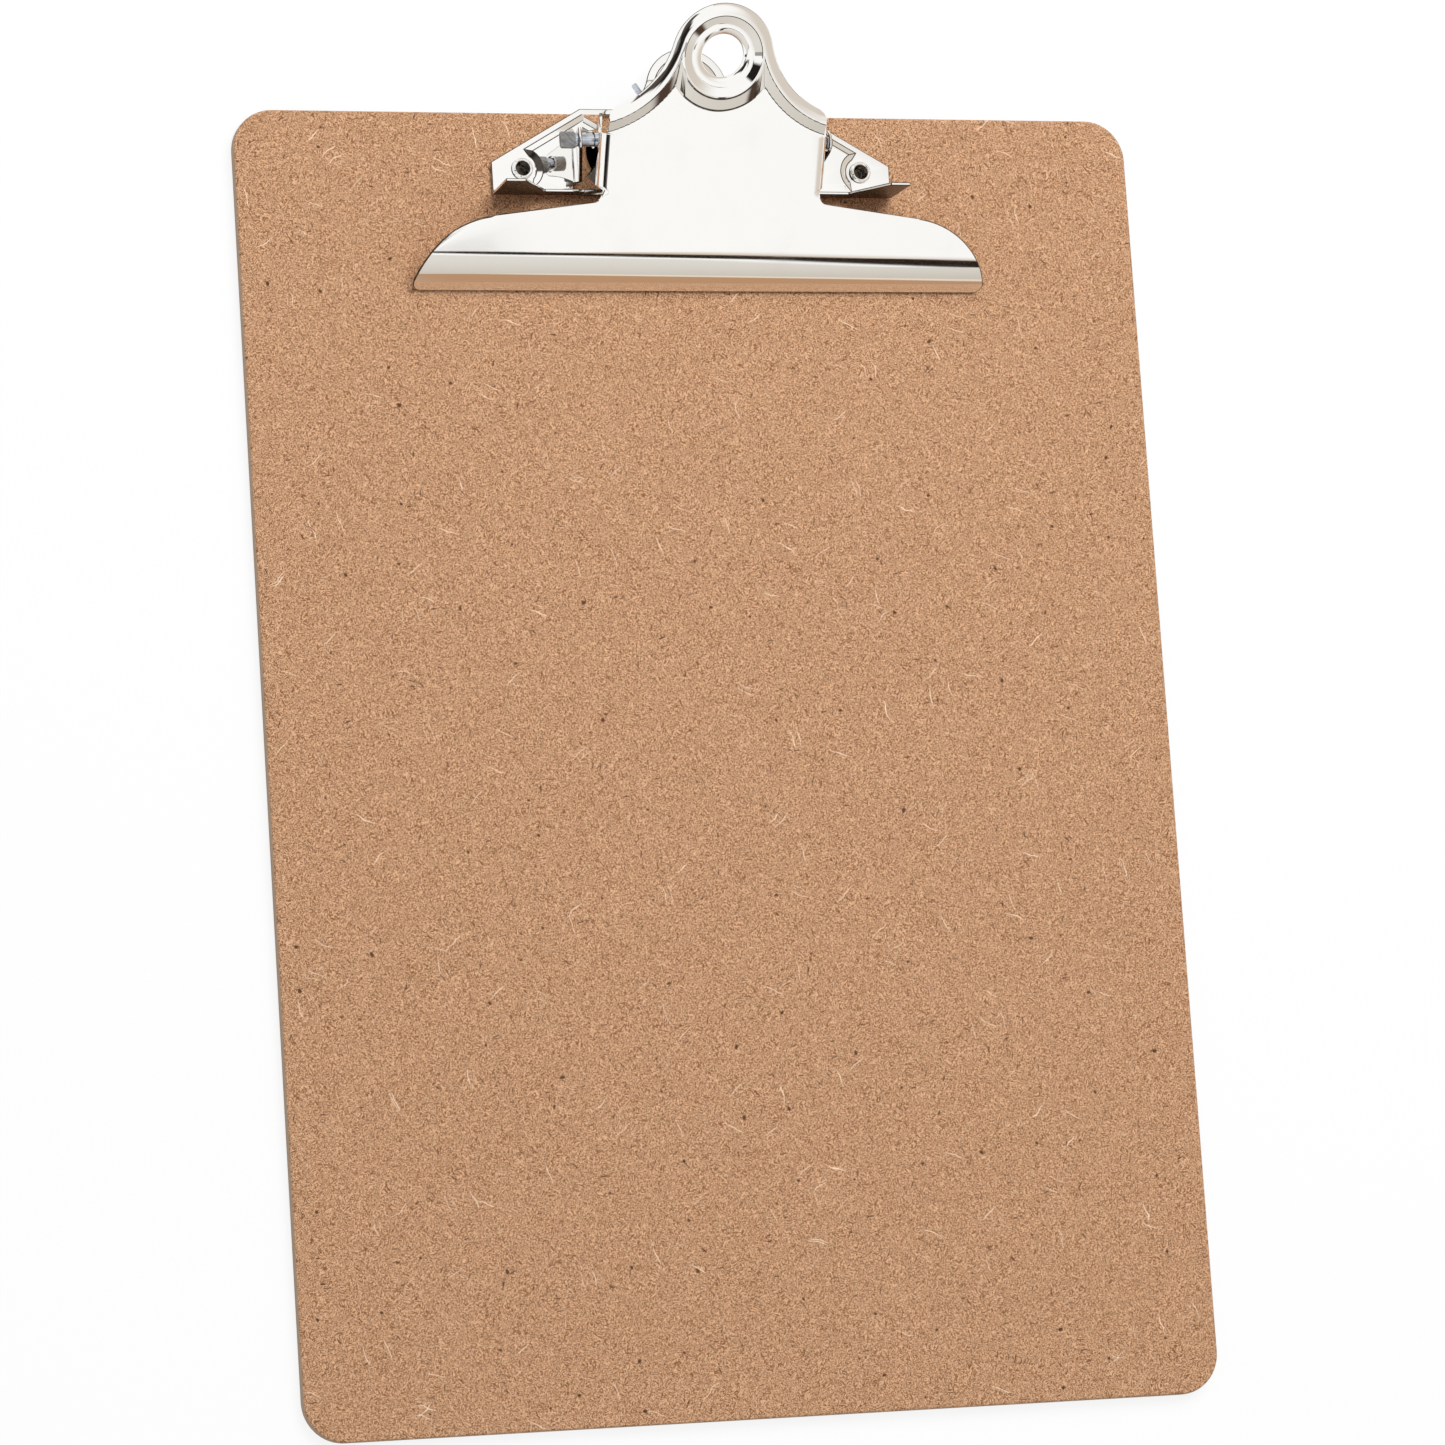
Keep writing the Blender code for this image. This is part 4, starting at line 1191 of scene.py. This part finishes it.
# %% Frame of the studio
BAR_GREY = (0.085, 0.070, 0.060, 1)
BAR_BLACK = (0.016, 0.013, 0.011, 1)
ARCH_TOP = 48.3
ARCH_FALLS_FROM = 25
ARCH_SPAN = 32
ARCH_FALL = 17
ARCH_CURVE = 1.5
ARCH_TURNS = (-60, 19, 2.0)
ARCH_LEFT = (-42, -8)
ARCH_HALF = 0.7
ARCH_LEFT_WIDER = 2.8
ARCH_DARK = 0.55
THIN_RISE = 56.6
THIN_LEAN = 0.19
THIN_HALF = 0.9
THIN_TURNS = (-8, 22, 1.5)
CORNER_TURNS = (-64, -33, 3.0)
CORNER_RISE = (46, 62, 4.0)
GREY_COVER = 0.8
BEAM_RISE = 66.5
BEAM_HALF = 9.4
BEAM_TURNS = (-132, 1, 5.0)
BEAM_RIGHT = (-42, -4)
BEAM_RIGHT_LOWER = 4.5
BEAM_RIGHT_THINNER = 2.8
BEAM_SHADES = (-70, -28)


def arch_seen(turn, rise, colour):
    """The bar that is arched over the opening, broader and darker on the left."""
    past = (turn * -1 - ARCH_FALLS_FROM).at_least(0.0) / ARCH_SPAN
    arch_rise = ARCH_TOP - past.math("POWER", past, ARCH_CURVE) * ARCH_FALL
    leftwards = turn.below(*ARCH_LEFT)
    arch = bar(rise - arch_rise, ARCH_HALF + leftwards * ARCH_LEFT_WIDER) * turn.within(*ARCH_TURNS)
    return (arch * (ARCH_DARK + leftwards * (1 - ARCH_DARK))).between(colour, BAR_BLACK)


def grey_seen(turn, rise, colour):
    """The thin bar over the arch, and the grey corner at the arch's left."""
    thin = bar(rise - (THIN_RISE - turn * THIN_LEAN), THIN_HALF) * turn.within(*THIN_TURNS)
    colour = (thin * GREY_COVER).between(colour, BAR_GREY)
    corner = turn.within(*CORNER_TURNS) * rise.within(*CORNER_RISE)
    return (corner * GREY_COVER).between(colour, BAR_GREY)


def beam_seen(turn, rise, colour):
    """The broad beam overhead, black towards the right."""
    rightwards = turn.above(*BEAM_RIGHT)
    from_beam = rise - BEAM_RISE + rightwards * BEAM_RIGHT_LOWER
    beam = bar(from_beam, BEAM_HALF - rightwards * BEAM_RIGHT_THINNER) * turn.within(*BEAM_TURNS)
    return beam.between(colour, turn.above(*BEAM_SHADES).between(BAR_GREY, BAR_BLACK))


print("frame: a beam", BEAM_RISE, "degrees up, over an arch at", ARCH_TOP)

# %% [markdown]
# The light itself is plain: an even white surround and one large soft lamp high behind the board. The
# camera sees white, mirror rays see the studio, and all other rays see a soft grey, so that the board
# gets an even light at a plain level.

# %% Light
SOFT_GREY = (0.48, 0.48, 0.48, 1)
TENT_CREAM = (0.69, 0.625, 0.555, 1)
CREAM_TURNS = (26, 60)
CREAM_TOP = (46, 70)
LAMP_PLACE = (0.30, 0.80, 1.30)
LAMP_AIM = Vector((0, 0.05, 0))
LAMP_SIZE = 1.2
LAMP_ENERGY = 20.0


def studio_seen(wire):
    """Colour of the studio in a mirror ray's direction."""
    way = wire.node("TexCoord", {}, {}, output="Generated")
    across, along, up = [axis_of(way, axis) for axis in "XYZ"]
    turn = wire.math("DEGREES", wire.math("ARCTAN2", across, along * -1))
    rise = wire.math("DEGREES", wire.math("ARCSINE", up))
    cream = turn.above(*CREAM_TURNS) * rise.below(*CREAM_TOP)
    colour = cream.between(TENT_WHITE, TENT_CREAM)
    for part in (opening_seen, post_seen, table_seen, arch_seen, grey_seen, beam_seen):
        colour = part(turn, rise, colour)
    return colour


def make_world():
    world = bpy.data.worlds.new("studio")
    bpy.context.scene.world = world
    wire = start_tree(world)
    lit = is_ray(wire, "Glossy").between(SOFT_GREY, studio_seen(wire))
    seen = is_ray(wire, "Camera").between(lit, TENT_WHITE)
    background = wire.node("Background", {}, {"Color": seen, "Strength": 1.0})
    wire.node("OutputWorld", {}, {"Surface": background})
    return world


def make_lamp():
    bpy.ops.object.light_add(type="AREA", location=LAMP_PLACE)
    lamp = bpy.context.object
    lamp.data.shape = "DISK"
    lamp.data.size = LAMP_SIZE
    lamp.data.energy = LAMP_ENERGY
    lamp.rotation_euler = (LAMP_AIM - lamp.location).to_track_quat("-Z", "Y").to_euler()
    lamp.visible_glossy = False
    return lamp


world = make_world()
lamp = make_lamp()
print("light:", len(world.node_tree.nodes), "nodes, and a lamp", round(lamp.data.size, 2), "m wide")

# %% [markdown]
# The camera stands where the photograph was taken: high over the board, to its left and towards the
# near edge, with a long lens. Its place was solved from the board's corners.

# %% Camera
CAMERA_PLACE = (-0.43836, -0.19541, 1.32944)
CAMERA_TURN = (9.5253, -17.6395, -3.9853)
CAMERA_LENS = 145.875
CAMERA_SENSOR = 36.0
CAMERA_FAR = 20.0

turns = [math.radians(angle) for angle in CAMERA_TURN]
bpy.ops.object.camera_add(location=CAMERA_PLACE, rotation=turns)
camera = bpy.context.object
camera.data.sensor_width = CAMERA_SENSOR
camera.data.lens = CAMERA_LENS
camera.data.clip_end = CAMERA_FAR
bpy.context.scene.camera = camera
bpy.context.scene.view_settings.view_transform = "Standard"
print("camera:", round(Vector(CAMERA_PLACE).length, 3), "m from the board's middle")
